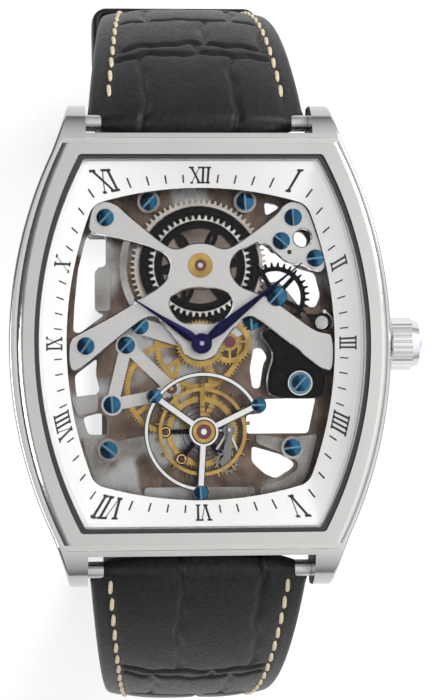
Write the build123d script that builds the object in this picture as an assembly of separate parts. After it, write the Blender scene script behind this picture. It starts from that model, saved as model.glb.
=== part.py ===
from build123d import *
import math
import os

os.makedirs("parts", exist_ok=True)

# A tonneau wristwatch with a skeleton movement, a tourbillon and a two-piece leather strap.
# Millimetres. The dial faces +Z, twelve o'clock is +Y and the crown is on +X.
# The origin is the middle of the case back's outer face. The strap curls down under the case.

# Clearances and the overrun of cuts
overrun = 1.0
seat_gap = 0.02
running_gap = 0.03
free_gap = 0.1

# Case middle
case_side_wall = 3.3
case_end_wall = 3.4
case_corner_drop = 1.9
case_bottom = 0.3
case_top = 8.4
case_edge_round = 0.3
case_corner_round = 0.5
lug_gap = 24.0
lug_waist_width = 2.6
lug_tip_width = 1.9
lug_waist_reach = 0.9
lug_tip_reach = 3.4
lug_shoulder_inset = 1.1
lug_crest_reach = 2.0
lug_foot_reach = 2.1
lug_tip_top = 4.2
lug_tip_low = 1.3
lug_crest_z = 7.0

# Hollow for the movement, and the case back below it
hollow_side_room = 2.8
hollow_end_room = 2.2
hollow_corner_inset = 1.9
hollow_corner_round = 0.5
back_side_lap = 2.3
back_end_lap = 2.0
back_corner_round = 0.8
back_thickness = 1.8
back_window_side = 4.4
back_window_end = 4.1
back_window_corner = 3.5
back_glass_lip = 0.4
back_glass_thickness = 1.0
back_gasket_width = 0.35
back_gasket_height = 0.3
back_screw_head_radius = 0.8
back_screw_head_height = 0.6
back_screw_radius = 0.5
back_screw_sink = 0.1
back_screw_length = 3.3
back_screw_shares = ((0.547, 0.952), (0.911, 0.335))

# Bezel and crystal
bezel_side_inset = 0.65
bezel_end_inset = 0.7
bezel_corner_inset = 1.15
bezel_corner_round = 1.2
bezel_crown = 12.25
bezel_edge_round = 0.9
bezel_step_width = 0.65
bezel_step_depth = 0.4
camber_radius = 160.0
crystal_seat_z = 10.3
crystal_seat_side = 0.5
crystal_seat_end = 0.65
crystal_seat_corner = 0.41
crystal_crown = 12.1
crystal_edge_chamfer = 0.15
gasket_width = 0.43
gasket_drop = 0.12

# Chapter ring
chapter_side_lap = 0.1
chapter_end_lap = 0.2
chapter_corner_lap = 0.14
chapter_corner_round = 0.5
chapter_rim = 0.3
chapter_top = 10.2
chapter_lip_height = 0.15
chapter_side_width = 2.85
chapter_end_width = 2.65
chapter_corner_width = 1.04
opening_corner_drop = 1.75
opening_corner_round = 2.0

# Crown, stem and pendant tube
stem_z = 5.0
stem_radius = 0.45
stem_inner_x = 8.4
pivot_radius = 0.25
tube_radius = 1.1
tube_bore = 0.75
tube_depth = 1.1
tube_reach = 0.8
crown_case_gap = 0.3
crown_flute_length = 2.1
crown_ring_length = 0.8
crown_radius = 2.8
crown_ring_radius = 2.35
crown_flutes = 30
crown_flute_depth = 0.16
crown_flute_shares = ((0.0, 0), (0.5, 0), (0.7, 1), (0.8, 1))
crown_bore = 1.75
crown_bore_depth = 1.2
cabochon_radius = 1.05
cabochon_height = 0.55
cabochon_sink = 0.2
crown_gasket_width = 0.35
crown_gasket_height = 0.5

# Strap and spring bars
bar_reach = 1.7
bar_z = 2.5
bar_radius = 0.9
bar_tip_radius = 0.45
bar_tip_length = 0.7
strap_side_gap = 0.2
strap_end_width = 18.0
strap_taper_length = 38.0
strap_thickness = 4.2
strap_end_thickness = 2.6
strap_padding_length = 60.0
strap_case_gap = 0.35
curl_radius = 39.7
curl_turn = 85.0
tuck_radius = 22.0
short_length = 70.0
tip_gap = 5.0
strap_station_length = 4.0
tip_length = 6.0
tip_end_width = 12.0
hole_margin = 15.5
hole_pitch = 6.5
hole_count = 6
hole_radius = 0.9
keeper_length = 5.0
keeper_wall = 1.1
keeper_room = 2.6
keeper_gap = 0.35
fixed_keeper_gap = 0.22
fixed_keeper_inset = 9.0
sliding_keeper_inset = 22.0

# Buckle
buckle_gap = 0.15
buckle_arm = 2.0
buckle_length = 9.6
buckle_back = 1.5
buckle_front = 2.4
buckle_thickness = 2.0
buckle_round = 0.6
buckle_droop = 5.0
buckle_bar_radius = 0.75
tongue_width = 1.9
tongue_thickness = 0.8
tongue_ring_radius = 1.3
tongue_overhang = 0.5
tongue_slot_length = 3.4

# Movement holder ring and main plate
plate_half_width = 14.1
plate_end_margin = 0.19
holder_wall = 1.4
holder_wall_corner = 0.9
holder_ledge = 0.5
holder_low = 1.9
holder_top = 8.3
main_low = 2.6
main_top = 3.6
main_corner_round = 0.6
window_round = 0.45
least_edge = 0.001
main_block_top = 4.4
boss_radius = 1.2
low_boss_top = 6.2
barrel_wall_inner = 7.75
barrel_wall_outer = 8.5
barrel_wall_top = 6.8
barrel_wall_start = 150.0
barrel_wall_turn = 66.0

# Screws of the movement
screw_head_radius = 0.92
screw_head_height = 0.3
screw_thread_radius = 0.45
screw_thread_length = 1.6
screw_slot_width = 0.2
screw_slot_depth = 0.14
screw_edge = 0.06
screw_dome_radius = 6.0
screw_step_angle = 47.0

# Bridges
bridge_low = 7.2
bridge_top = 8.0
bridge_bevel = 0.12
bridge_round = 2.0
bridge_pillar_radius = 1.05
bridge_hole_radius = 0.95
bridge_pin_hole_radius = 0.24
centre_bridge_low = 5.4
centre_bridge_top = 6.0
centre_bridge_width = 1.7
centre_foot_radius = 0.95
train_low = 4.42
train_top = 4.66
train_foot_radius = 1.15
train_arm_width = 1.3
cover_low = 6.92
cover_top = 7.14
cover_post_radius = 0.8
cover_bevel = 0.15
cover_washer_outer = 1.2
cover_washer_height = 0.1

# Axes of the movement, from the hands' axis
barrel_y = 8.3
crown_wheel_x = 8.03
crown_wheel_y = 5.0
third_x = -2.96
third_y = -4.65
tourbillon_x = 0.23
tourbillon_y = -9.26
minute_x = 3.14
minute_y = 0.24
click_x = 12.95
click_y = 2.24
click_spring_angles = (-30.0, 30.0, 75.0)
crown_screw_head = 1.05
click_screw_head = 0.72
click_screw_height = 0.15
click_groove_outer = 0.52
click_groove_inner = 0.42
click_groove_depth = 0.07

# Toothed wheels: counts, thickness and heights
wheel_thickness = 0.2
leaf_thickness = 0.5
barrel_teeth = 72
centre_leaves = 12
centre_teeth = 80
third_leaves = 12
third_teeth = 90
carriage_leaves = 10
cannon_leaves = 12
minute_teeth = 36
minute_leaves = 10
hour_teeth = 40
ratchet_teeth = 48
crown_wheel_teeth = 32
transmission_teeth = 18
winding_teeth = 14
winding_length = 1.8
fixed_teeth = 72
escape_leaves = 6
escape_teeth = 15
tip_share = 0.9
root_share = 1.15
tip_half_share = 0.1
root_half_share = 0.27
centre_wheel_z = 4.1
third_wheel_z = 3.74
carriage_pinion_z = 3.68
fixed_wheel_z = 4.15
barrel_low = 4.4
barrel_top = 6.15
barrel_teeth_z = 4.65
barrel_body_radius = 6.45
barrel_wall = 0.35
barrel_cover_thickness = 0.3
barrel_cover_bevel = 0.12
barrel_arbor_radius = 1.1
ratchet_z = 6.42
ratchet_thickness = 0.45
minute_wheel_z = 6.3
hour_wheel_z = 6.72
motion_leaf_length = 0.42
spoke_width = 0.5
crown_wheel_hub = 1.24
rim_width = 0.5
wheel_hub_radius = 0.95
mainspring_turns = 9
mainspring_thickness = 0.12
mainspring_pitch = 0.42
spiral_samples = 36

# Hands
hour_hand_low = 8.85
hour_hand_high = 9.1
minute_hand_low = 9.3
minute_hand_high = 9.55
hand_cap_top = 9.85
hour_hand_length = 8.5
minute_hand_length = 13.6
hour_hand_half_width = 0.54
minute_hand_half_width = 0.6
hand_hub_radius = 1.08
hand_widest_share = 0.18
hand_neck_share = 0.6
hand_neck_width_share = 0.36
hand_tip_half_width = 0.06
hand_facet_angle = 14.0
hand_cap_radius = 0.5
hour_angle = 146.5
minute_angle = 38.4
cannon_radius = 0.5
hour_pipe_radius = 0.8
centre_arbor_radius = 0.3

# Tourbillon
carriage_low = 4.75
carriage_plate = 0.25
carriage_high = 7.3
carriage_pillar_place = 5.5
carriage_pillar_radius = 0.2
carriage_arm_width = 0.5
carriage_arm_angles = (25.7, 144.0, 266.6)
carriage_hub_radius = 0.9
carriage_eye_radius = 0.66
carriage_spare_eyes = ((3.9, 180.0), (3.65, 233.0))
escape_place = 4.16
escape_angle = -52.0
pallet_place = 2.87
pallet_angle = 3.6
escape_radius = 1.4
escape_rim = 0.5
escape_spokes = 4
escape_tooth_shares = ((0.78, 0.0), (1.0, 0.45), (1.0, 0.62), (0.78, 0.55))
escape_z = 5.2
stone_gap = 0.3
stone_angle = 42.0
lever_thickness = 0.15
lever_width = 0.24
pallet_bridge_low = 5.52
pallet_bridge_thickness = 0.15
pallet_bridge_width = 0.8
balance_low = 6.0
balance_thickness = 0.4
balance_inner = 4.3
balance_outer = 4.68
balance_arm_width = 0.5
balance_screws = 18
balance_screw_radius = 0.17
balance_screw_length = 0.42
staff_radius = 0.22
roller_radius = 0.55
roller_z = 5.5
roller_thickness = 0.14
hairspring_z = 6.66
hairspring_height = 0.16
hairspring_strip = 0.07
hairspring_pitch = 0.52
hairspring_start = 0.55
hairspring_half_turns = 9
stud_radius = 0.2
fixed_bridge_low = 8.0
fixed_bridge_top = 8.4
fixed_foot_place = 6.4
fixed_foot_radius = 0.85
fixed_post_radius = 0.48
fixed_screw_head = 0.74
fixed_arm_width = 0.75
fixed_arc_radius = 6.05
fixed_arc_width = 0.5
fixed_ring_outer = 1.62
fixed_ring_inner = 1.2
fixed_leg_angles = (-60.0, 0.0, 60.0)
fixed_leg_radius = 0.4
fixed_rim_width = 0.55
fixed_bevel = 0.1

# Jewels and their settings
jewel_radius = 0.6
jewel_hole = 0.2
jewel_height = 0.3
minute_jewel_low = 6.97
chaton_width = 0.4
barrel_chaton_width = 0.7

# Outlines that follow the movement: the plate, its holder, the case around them and the lugs
plate_half_height = fixed_foot_place + fixed_foot_radius + plate_end_margin - tourbillon_y
hollow_half_width = plate_half_width + hollow_side_room
hollow_half_height = plate_half_height + hollow_end_room
hollow_corner_x = plate_half_width - hollow_corner_inset
holder_half_width = hollow_half_width - free_gap
holder_half_height = hollow_half_height - free_gap
holder_corner_x = hollow_corner_x - free_gap
holder_inner_half_width = holder_half_width - holder_wall
holder_inner_half_height = holder_half_height - holder_wall
holder_inner_corner_x = holder_corner_x - holder_wall_corner
back_half_width = hollow_half_width + back_side_lap
back_half_height = hollow_half_height + back_end_lap
back_corner_x = hollow_corner_x + back_end_lap
back_window_half_width = back_half_width - back_window_side
back_window_half_height = back_half_height - back_window_end
back_window_corner_x = back_corner_x - back_window_corner
case_half_width = hollow_half_width + case_side_wall
case_half_height = hollow_half_height + case_end_wall
case_corner_x = hollow_corner_x + case_end_wall
case_corner_y = case_half_height - case_corner_drop
bezel_half_width = case_half_width - bezel_side_inset
bezel_half_height = case_half_height - bezel_end_inset
bezel_corner_x = case_corner_x - bezel_corner_inset
bezel_step_y = bezel_half_height - bezel_step_width
chapter_half_width = hollow_half_width + chapter_side_lap
chapter_half_height = hollow_half_height + chapter_end_lap
chapter_corner_x = hollow_corner_x + chapter_corner_lap
crystal_seat_half_width = chapter_half_width + crystal_seat_side
crystal_seat_half_height = chapter_half_height + crystal_seat_end
crystal_seat_corner_x = chapter_corner_x + crystal_seat_corner
opening_half_width = chapter_half_width - chapter_side_width
opening_half_height = chapter_half_height - chapter_end_width
opening_corner_x = chapter_corner_x - chapter_corner_width
opening_corner_y = opening_half_height - opening_corner_drop
lug_waist_x = lug_gap / 2 + lug_waist_width
lug_waist_y = case_half_height + lug_waist_reach
lug_tip_x = lug_gap / 2 + lug_tip_width
lug_tip_y = case_half_height + lug_tip_reach
lug_shoulder_y = case_half_height - lug_shoulder_inset
lug_crest_y = case_half_height + lug_crest_reach
lug_foot_y = case_half_height + lug_foot_reach
bar_y = case_half_height + bar_reach

# Places along the stem, from the case's side
tube_inner_x = hollow_half_width + tube_depth
tube_outer_x = case_half_width + tube_reach
crown_inner_x = case_half_width + crown_case_gap
crown_flute_x = crown_inner_x + crown_flute_length
crown_ring_x = crown_flute_x + crown_ring_length

# Strap sizes that follow the lugs
strap_width = lug_gap - 2 * strap_side_gap
fixed_keeper_place = short_length - fixed_keeper_inset
sliding_keeper_place = short_length - sliding_keeper_inset

UP = (0, 0, 1)


def prism(face, low, high):
    return Pos(0, 0, low) * extrude(face, amount=high - low, dir=UP)


def disc(radius, low, high, x=0, y=0):
    return Pos(x, y, 0) * prism(Circle(radius), low, high)


def tube(outer, inner, low, high, x=0, y=0):
    return Pos(x, y, 0) * prism(Circle(outer) - Circle(inner), low, high)


def bar_x(radius, start, end, y=0, z=0):
    return Pos(start, y, z) * Rot(0, 90, 0) * extrude(Circle(radius), amount=end - start)


def polar(radius, angle):
    return (radius * math.cos(math.radians(angle)), radius * math.sin(math.radians(angle)))


def distance(x, y):
    return math.hypot(x, y)


def direction(x, y):
    return math.degrees(math.atan2(y, x))


def one_solid(shape):
    return max(shape.solids(), key=lambda solid: solid.volume)


def write(name, *shapes):
    solids = []
    for shape in shapes:
        solids.extend(shape.solids())
    whole = solids[0] if len(solids) == 1 else Compound(children=solids)
    whole.label = name
    export_step(whole, "parts/" + name + ".step")


# Outlines of the case family: arched sides and straight ends
def tonneau(half_width, half_height, corner_x, corner_round):
    right = ThreePointArc((corner_x, -half_height), (half_width, 0), (corner_x, half_height))
    top = Line((corner_x, half_height), (-corner_x, half_height))
    left = ThreePointArc((-corner_x, half_height), (-half_width, 0), (-corner_x, -half_height))
    bottom = Line((-corner_x, -half_height), (corner_x, -half_height))
    face = make_face([right, top, left, bottom])
    return fillet(face.vertices(), corner_round)


# The chapter ring's opening has arched ends too
def barrel_outline(half_width, half_height, corner_x, corner_y, corner_round):
    right = ThreePointArc((corner_x, -corner_y), (half_width, 0), (corner_x, corner_y))
    top = ThreePointArc((corner_x, corner_y), (0, half_height), (-corner_x, corner_y))
    left = ThreePointArc((-corner_x, corner_y), (-half_width, 0), (-corner_x, -corner_y))
    bottom = ThreePointArc((-corner_x, -corner_y), (0, -half_height), (corner_x, -corner_y))
    face = make_face([right, top, left, bottom])
    return fillet(face.vertices(), corner_round)


def under_camber(shape, crown):
    length = 2 * (case_half_width + overrun)
    roll = Pos(0, 0, crown - camber_radius) * Rot(0, 90, 0) * Cylinder(camber_radius, length)
    return shape & roll


# Teeth: straight flanks, narrower at the tip, with room for the mating teeth
def gear_face(teeth, module, phase=0):
    pitch_radius = teeth * module / 2
    tip_radius = pitch_radius + tip_share * module
    root_radius = pitch_radius - root_share * module
    step = 360 / teeth
    points = []
    for tooth in range(teeth):
        for radius, share in (
            (root_radius, -root_half_share),
            (tip_radius, -tip_half_share),
            (tip_radius, tip_half_share),
            (root_radius, root_half_share),
        ):
            points.append(polar(radius, phase + step * (tooth + share)))
    return Polygon(*points)


def root_of(teeth, module):
    return teeth * module / 2 - root_share * module


# The turn that puts a gap of the second gear on a tooth of the first, seen along one line of centres
def mesh_phase(first_phase, first_teeth, second_teeth, line_angle):
    carried = (first_phase - line_angle) * first_teeth / second_teeth
    return line_angle + 180 - carried - 180 / second_teeth


def spoke(reach, width, angle):
    return Rot(0, 0, angle) * Pos(reach / 2, 0) * Rectangle(reach, width)


def spoke_faces(count, reach, width, phase=0):
    arms = Sketch()
    for index in range(count):
        arms += spoke(reach, width, phase + 360 / count * index)
    return arms


def spoked_wheel(teeth, module, phase, spokes, rim, hub, width, low, thickness, bore):
    outline = gear_face(teeth, module, phase)
    inner = root_of(teeth, module) - rim
    arms = spoke_faces(spokes, inner + rim / 2, width, phase)
    face = (outline - Circle(inner)) + arms + Circle(hub)
    if bore > 0:
        face = face - Circle(bore)
    return prism(face, low, low + thickness)


def chamfer_top(shape, length):
    return chamfer(shape.faces().sort_by(Axis.Z)[-1].edges(), length)


# A bevel round the holes of the top face alone
def chamfer_holes(shape, length):
    edges = []
    for wire in shape.faces().sort_by(Axis.Z)[-1].inner_wires():
        edges += wire.edges()
    return chamfer(edges, length)


# A screw head with a faint dome and a bevelled rim
def domed_head(radius, low, high):
    dome = Pos(0, 0, high - screw_dome_radius) * Sphere(screw_dome_radius)
    return chamfer_top(disc(radius, low, high), screw_edge) & dome


# One slotted screw: the head rests on z, the thread goes down from there
def screw(x, y, z, turn, head=screw_head_radius, height=screw_head_height):
    body = domed_head(head, z, z + height)
    thread = disc(screw_thread_radius, z - screw_thread_length, z)
    slot_box = Box(2 * (head + overrun), screw_slot_width, 2 * screw_slot_depth)
    slot = Pos(0, 0, z + height) * Rot(0, 0, turn) * slot_box
    return Pos(x, y, 0) * one_solid((body + thread) - slot)


def thread_hole(x, y, z):
    low = z - screw_thread_length - free_gap
    return disc(screw_thread_radius + seat_gap, low, z + overrun, x, y)


# Points given as shares of the main plate's half width and half height
def plate_point(share):
    return (plate_half_width * share[0], plate_half_height * share[1])


# The point on the way from a corner to its neighbour, at most half of the edge away
def toward(corner, other, reach):
    run = (other[0] - corner[0], other[1] - corner[1])
    length = distance(*run)
    share = min(reach, length / 2) / length
    return (corner[0] + run[0] * share, corner[1] + run[1] * share)


# A closed outline whose corners are rounded over the given reach, or over half of a shorter edge
def smooth_face(points, reach):
    curves = []
    count = len(points)
    for index in range(count):
        corner = points[index]
        after = points[(index + 1) % count]
        end = toward(corner, after, reach)
        start_of_next = toward(after, corner, reach)
        curves.append(Bezier(toward(corner, points[index - 1], reach), corner, end))
        if distance(start_of_next[0] - end[0], start_of_next[1] - end[1]) > least_edge:
            curves.append(Line(end, start_of_next))
    return make_face(Wire(curves))


def smooth_plate(shares, reach=window_round):
    return smooth_face([plate_point(share) for share in shares], reach)


# Derived modules of the gear pairs
barrel_module = 2 * barrel_y / (barrel_teeth + centre_leaves)
centre_module = 2 * distance(third_x, third_y) / (centre_teeth + third_leaves)
third_run = (tourbillon_x - third_x, tourbillon_y - third_y)
third_module = 2 * distance(*third_run) / (third_teeth + carriage_leaves)
cannon_module = 2 * distance(minute_x, minute_y) / (cannon_leaves + minute_teeth)
hour_module = 2 * distance(minute_x, minute_y) / (minute_leaves + hour_teeth)
winding_run = (crown_wheel_x, crown_wheel_y - barrel_y)
winding_module = 2 * distance(*winding_run) / (ratchet_teeth + crown_wheel_teeth)
escape_module = 2 * escape_place / (fixed_teeth + escape_leaves)
transmission_centres = winding_module * (crown_wheel_teeth + transmission_teeth) / 2
transmission_x = crown_wheel_x + math.sqrt(transmission_centres**2 - crown_wheel_y**2)

# Places of the screws, as shares of the main plate's half sizes
bridge_screw_shares = (
    (-0.71, 0.80), (0.70, 0.80), (0.61, 0.65), (0.865, 0.54), (-0.86, -0.01),
)
low_screw_shares = ((-0.38, 0.91), (0.35, 0.91), (-0.69, -0.666), (0.695, -0.66))
centre_screw_shares = ((-0.45, 0.12), (0.39, 0.14))
train_screw_shares = ((-0.55, 0.0), (-0.66, -0.38))
cover_screw_share = (0.75, -0.25)
lower_right_pillar_share = (0.945, -0.085)


# Case
def case_face():
    right = ThreePointArc(
        (case_corner_x, -case_corner_y), (case_half_width, 0), (case_corner_x, case_corner_y)
    )
    flare_1 = ThreePointArc(
        (case_corner_x, case_corner_y), (lug_waist_x, lug_waist_y), (lug_tip_x, lug_tip_y)
    )
    top = Line((lug_tip_x, lug_tip_y), (-lug_tip_x, lug_tip_y))
    flare_2 = ThreePointArc(
        (-lug_tip_x, lug_tip_y), (-lug_waist_x, lug_waist_y), (-case_corner_x, case_corner_y)
    )
    left = ThreePointArc(
        (-case_corner_x, case_corner_y), (-case_half_width, 0), (-case_corner_x, -case_corner_y)
    )
    flare_3 = ThreePointArc(
        (-case_corner_x, -case_corner_y), (-lug_waist_x, -lug_waist_y), (-lug_tip_x, -lug_tip_y)
    )
    bottom = Line((-lug_tip_x, -lug_tip_y), (lug_tip_x, -lug_tip_y))
    flare_4 = ThreePointArc(
        (lug_tip_x, -lug_tip_y), (lug_waist_x, -lug_waist_y), (case_corner_x, -case_corner_y)
    )
    return make_face([right, flare_1, top, flare_2, left, flare_3, bottom, flare_4])


# The side view of the case: the lugs curve down to the strap bars
def case_profile():
    edges = [
        Line((-lug_shoulder_y, case_top), (lug_shoulder_y, case_top)),
        ThreePointArc((lug_shoulder_y, case_top), (lug_crest_y, lug_crest_z), (lug_tip_y, lug_tip_top)),
        Line((lug_tip_y, lug_tip_top), (lug_tip_y, lug_tip_low)),
        Line((lug_tip_y, lug_tip_low), (lug_foot_y, case_bottom)),
        Line((lug_foot_y, case_bottom), (-lug_foot_y, case_bottom)),
        Line((-lug_foot_y, case_bottom), (-lug_tip_y, lug_tip_low)),
        Line((-lug_tip_y, lug_tip_low), (-lug_tip_y, lug_tip_top)),
        ThreePointArc(
            (-lug_tip_y, lug_tip_top), (-lug_crest_y, lug_crest_z), (-lug_shoulder_y, case_top)
        ),
    ]
    return Plane.YZ * make_face(edges)


# The edges along both sides of the top, over the lugs too, without the upright ones
def case_top_edges(body):
    chosen = []
    for edge in body.edges():
        middle = edge @ 0.5
        first = edge @ 0
        last = edge @ 1
        upright = distance(first.X - last.X, first.Y - last.Y) < seat_gap
        outside = abs(middle.X) > (lug_gap + case_edge_round) / 2
        if outside and middle.Z > lug_tip_low + free_gap and not upright:
            chosen.append(edge)
    return chosen


def back_screw_places():
    places = []
    for share_x, share_y in back_screw_shares:
        for side_x in (-1, 1):
            for side_y in (-1, 1):
                places.append((side_x * back_half_width * share_x, side_y * back_half_height * share_y))
    return places


def case_middle():
    face = case_face()
    face = fillet(face.vertices(), case_corner_round)
    body = prism(face, case_bottom, case_top)
    body = body & extrude(case_profile(), amount=case_half_width + overrun, both=True)
    body = fillet(case_top_edges(body), case_edge_round)
    gap_depth = lug_tip_y - case_half_height + overrun
    strap_room = strap_thickness / 2 + strap_case_gap
    for side in (-1, 1):
        gap_y = side * (case_half_height + gap_depth / 2)
        body -= Pos(0, gap_y, case_top / 2) * Box(lug_gap, gap_depth, case_top + overrun)
        body -= bar_x(strap_room, -lug_gap / 2, lug_gap / 2, side * bar_y, bar_z)
        reach = lug_gap / 2 + bar_tip_length + seat_gap
        body -= bar_x(bar_tip_radius + running_gap, -reach, reach, side * bar_y, bar_z)
    hollow = tonneau(hollow_half_width, hollow_half_height, hollow_corner_x, hollow_corner_round)
    body -= prism(hollow, case_bottom - overrun, case_top + overrun)
    recess = tonneau(
        back_half_width + seat_gap, back_half_height + seat_gap, back_corner_x + seat_gap, back_corner_round
    )
    body -= prism(recess, case_bottom - overrun, back_thickness)
    body -= back_gasket_solid(seat_gap)
    for x, y in back_screw_places():
        body -= disc(back_screw_radius + seat_gap, 0, back_screw_length + free_gap, x, y)
    body -= bar_x(tube_radius, hollow_half_width - overrun, case_half_width + overrun, 0, stem_z)
    return one_solid(body)


def back_gasket_solid(gap):
    inner_grow = free_gap / 2
    outer_grow = inner_grow + back_gasket_width + gap
    outer = tonneau(
        hollow_half_width + outer_grow, hollow_half_height + outer_grow,
        hollow_corner_x + outer_grow, hollow_corner_round,
    )
    inner = tonneau(
        hollow_half_width + inner_grow - gap, hollow_half_height + inner_grow - gap,
        hollow_corner_x + inner_grow - gap, hollow_corner_round,
    )
    return prism(outer - inner, back_thickness, back_thickness + back_gasket_height + gap)


def back_glass_face(grow):
    lip = back_glass_lip + grow
    return tonneau(
        back_window_half_width + lip, back_window_half_height + lip,
        back_window_corner_x + lip, back_corner_round,
    )


def case_back():
    body = prism(
        tonneau(back_half_width, back_half_height, back_corner_x, back_corner_round), 0, back_thickness
    )
    window = tonneau(
        back_window_half_width, back_window_half_height, back_window_corner_x, back_corner_round
    )
    body -= prism(window, -overrun, back_thickness + overrun)
    body -= prism(back_glass_face(seat_gap), -overrun, back_glass_thickness)
    for x, y in back_screw_places():
        body -= disc(back_screw_radius + seat_gap, -overrun, back_thickness + overrun, x, y)
        head_top = back_screw_sink + back_screw_head_height
        body -= disc(back_screw_head_radius + seat_gap, -overrun, head_top, x, y)
    return one_solid(body)


def case_back_glass():
    return prism(back_glass_face(0), 0, back_glass_thickness)


def case_back_screws():
    screws = []
    for index, (x, y) in enumerate(back_screw_places()):
        head_top = back_screw_sink + back_screw_head_height
        body = disc(back_screw_head_radius, back_screw_sink, head_top)
        body += disc(back_screw_radius, back_screw_sink, back_screw_length)
        slot_box = Box(2 * back_screw_head_radius, screw_slot_width, 2 * screw_slot_depth)
        body -= Pos(0, 0, back_screw_sink) * Rot(0, 0, screw_step_angle * index) * slot_box
        screws.append(Pos(x, y, 0) * one_solid(body))
    return screws


def bezel():
    outer = tonneau(bezel_half_width, bezel_half_height, bezel_corner_x, bezel_corner_round)
    body = under_camber(prism(outer, case_top, bezel_crown + overrun), bezel_crown)
    body = fillet(body.faces().sort_by(Axis.Z)[-1].edges(), bezel_edge_round)
    step_length = bezel_half_height - bezel_step_y + overrun
    for side in (-1, 1):
        fall = bezel_step_y**2 / (2 * camber_radius)
        step_z = bezel_crown - fall - bezel_step_depth
        step = Box(2 * (bezel_half_width + overrun), step_length, 2 * overrun)
        body -= Pos(0, side * (bezel_step_y + step_length / 2), step_z + overrun) * step
    grow = seat_gap
    well = tonneau(
        chapter_half_width + grow, chapter_half_height + grow, chapter_corner_x + grow, chapter_corner_round
    )
    body -= prism(well, case_top - overrun, bezel_crown + overrun)
    seat = tonneau(
        crystal_seat_half_width, crystal_seat_half_height, crystal_seat_corner_x, chapter_corner_round
    )
    body -= prism(seat, crystal_seat_z, bezel_crown + overrun)
    return one_solid(body)


def seat_face(shrink):
    return tonneau(
        crystal_seat_half_width - shrink, crystal_seat_half_height - shrink,
        crystal_seat_corner_x - shrink, chapter_corner_round,
    )


def crystal():
    face = seat_face(gasket_width + 2 * seat_gap)
    body = under_camber(prism(face, crystal_seat_z, crystal_crown + overrun), crystal_crown)
    return chamfer(body.faces().sort_by(Axis.Z)[-1].edges(), crystal_edge_chamfer)


def crystal_gasket():
    face = seat_face(seat_gap) - seat_face(seat_gap + gasket_width)
    body = prism(face, crystal_seat_z, crystal_crown + overrun)
    return one_solid(under_camber(body, crystal_crown - gasket_drop))


def chapter_ring():
    low = case_top + seat_gap
    outer = tonneau(chapter_half_width, chapter_half_height, chapter_corner_x, chapter_corner_round)
    inner = barrel_outline(
        opening_half_width, opening_half_height, opening_corner_x, opening_corner_y, opening_corner_round
    )
    rim = barrel_outline(
        chapter_half_width - chapter_rim, chapter_half_height - chapter_rim / 2,
        chapter_corner_x - chapter_rim, chapter_half_height - chapter_rim, chapter_corner_round,
    )
    body = prism(outer, low, chapter_top)
    lip_top = low + chapter_lip_height
    slope = loft([Pos(0, 0, lip_top) * inner, Pos(0, 0, chapter_top + seat_gap) * rim], ruled=True)
    body -= slope
    body -= prism(inner, low - overrun, lip_top + seat_gap)
    return one_solid(body)


# Crown, tube and stem, all about one axis along X
def pendant_tube():
    body = bar_x(tube_radius - seat_gap, tube_inner_x, tube_outer_x, 0, stem_z)
    return body - bar_x(tube_bore, tube_inner_x - overrun, tube_outer_x + overrun, 0, stem_z)


def crown_face(radius, flutes, depth):
    points = []
    for index in range(flutes):
        for share, cut in crown_flute_shares:
            points.append(polar(radius - depth * cut, 360 / flutes * (index + share)))
    return Polygon(*points)


def crown():
    grip = crown_face(crown_radius, crown_flutes, crown_flute_depth)
    fluted = extrude(grip, amount=crown_flute_x - crown_inner_x, dir=UP)
    ring_length = crown_ring_x - crown_flute_x
    collar = Pos(0, 0, crown_flute_x - crown_inner_x) * loft(
        [Circle(crown_radius - crown_flute_depth), Pos(0, 0, ring_length) * Circle(crown_ring_radius)]
    )
    body = fluted + collar
    body -= Pos(0, 0, -overrun) * extrude(Circle(crown_bore), amount=crown_bore_depth + overrun, dir=UP)
    stem_socket = crown_ring_x - crown_inner_x - cabochon_sink - stem_radius
    body -= extrude(Circle(stem_radius + seat_gap), amount=stem_socket, dir=UP)
    pit = Pos(0, 0, crown_ring_x - crown_inner_x - cabochon_sink)
    body -= pit * extrude(Circle(cabochon_radius + seat_gap), amount=overrun, dir=UP)
    return Pos(crown_inner_x, 0, stem_z) * Rot(0, 90, 0) * one_solid(body)


def crown_cabochon():
    ball = (cabochon_radius**2 + cabochon_height**2) / (2 * cabochon_height)
    dome = Sphere(ball) & (Pos(0, 0, ball) * Box(2 * ball, 2 * ball, 2 * cabochon_height))
    base = extrude(Circle(cabochon_radius), amount=cabochon_sink, dir=UP)
    body = base + Pos(0, 0, cabochon_sink - ball + cabochon_height) * dome
    return Pos(crown_ring_x - cabochon_sink, 0, stem_z) * Rot(0, 90, 0) * one_solid(body)


def crown_gasket():
    x = crown_inner_x + crown_bore_depth - crown_gasket_height - seat_gap
    outer = crown_bore - seat_gap
    body = bar_x(outer, x, x + crown_gasket_height, 0, stem_z)
    return body - bar_x(outer - crown_gasket_width, x - overrun, x + crown_gasket_height + overrun, 0, stem_z)


def winding_stem():
    end = crown_ring_x - cabochon_sink - stem_radius - seat_gap
    body = bar_x(stem_radius, stem_inner_x, end, 0, stem_z)
    return body + bar_x(pivot_radius, stem_inner_x - stem_radius, stem_inner_x, 0, stem_z)


# Strap: a path in the YZ plane, first a wide curl, then a tight tuck, then flat along the ground
start_turn = math.degrees(math.asin(bar_y / curl_radius))
curl_z = bar_z - curl_radius * math.cos(math.radians(start_turn))
tuck_start = curl_radius * math.radians(curl_turn)
tuck_turn = 180 - start_turn - curl_turn
tuck_length = tuck_radius * math.radians(tuck_turn)
tuck_inset = curl_radius - tuck_radius
tuck_y = tuck_inset * math.sin(math.radians(start_turn + curl_turn))
tuck_z = curl_z + tuck_inset * math.cos(math.radians(start_turn + curl_turn))
flat_z = tuck_z - tuck_radius
loop_length = 2 * (tuck_start + tuck_length + tuck_y)
long_length = loop_length - short_length - buckle_length - tip_gap


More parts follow.
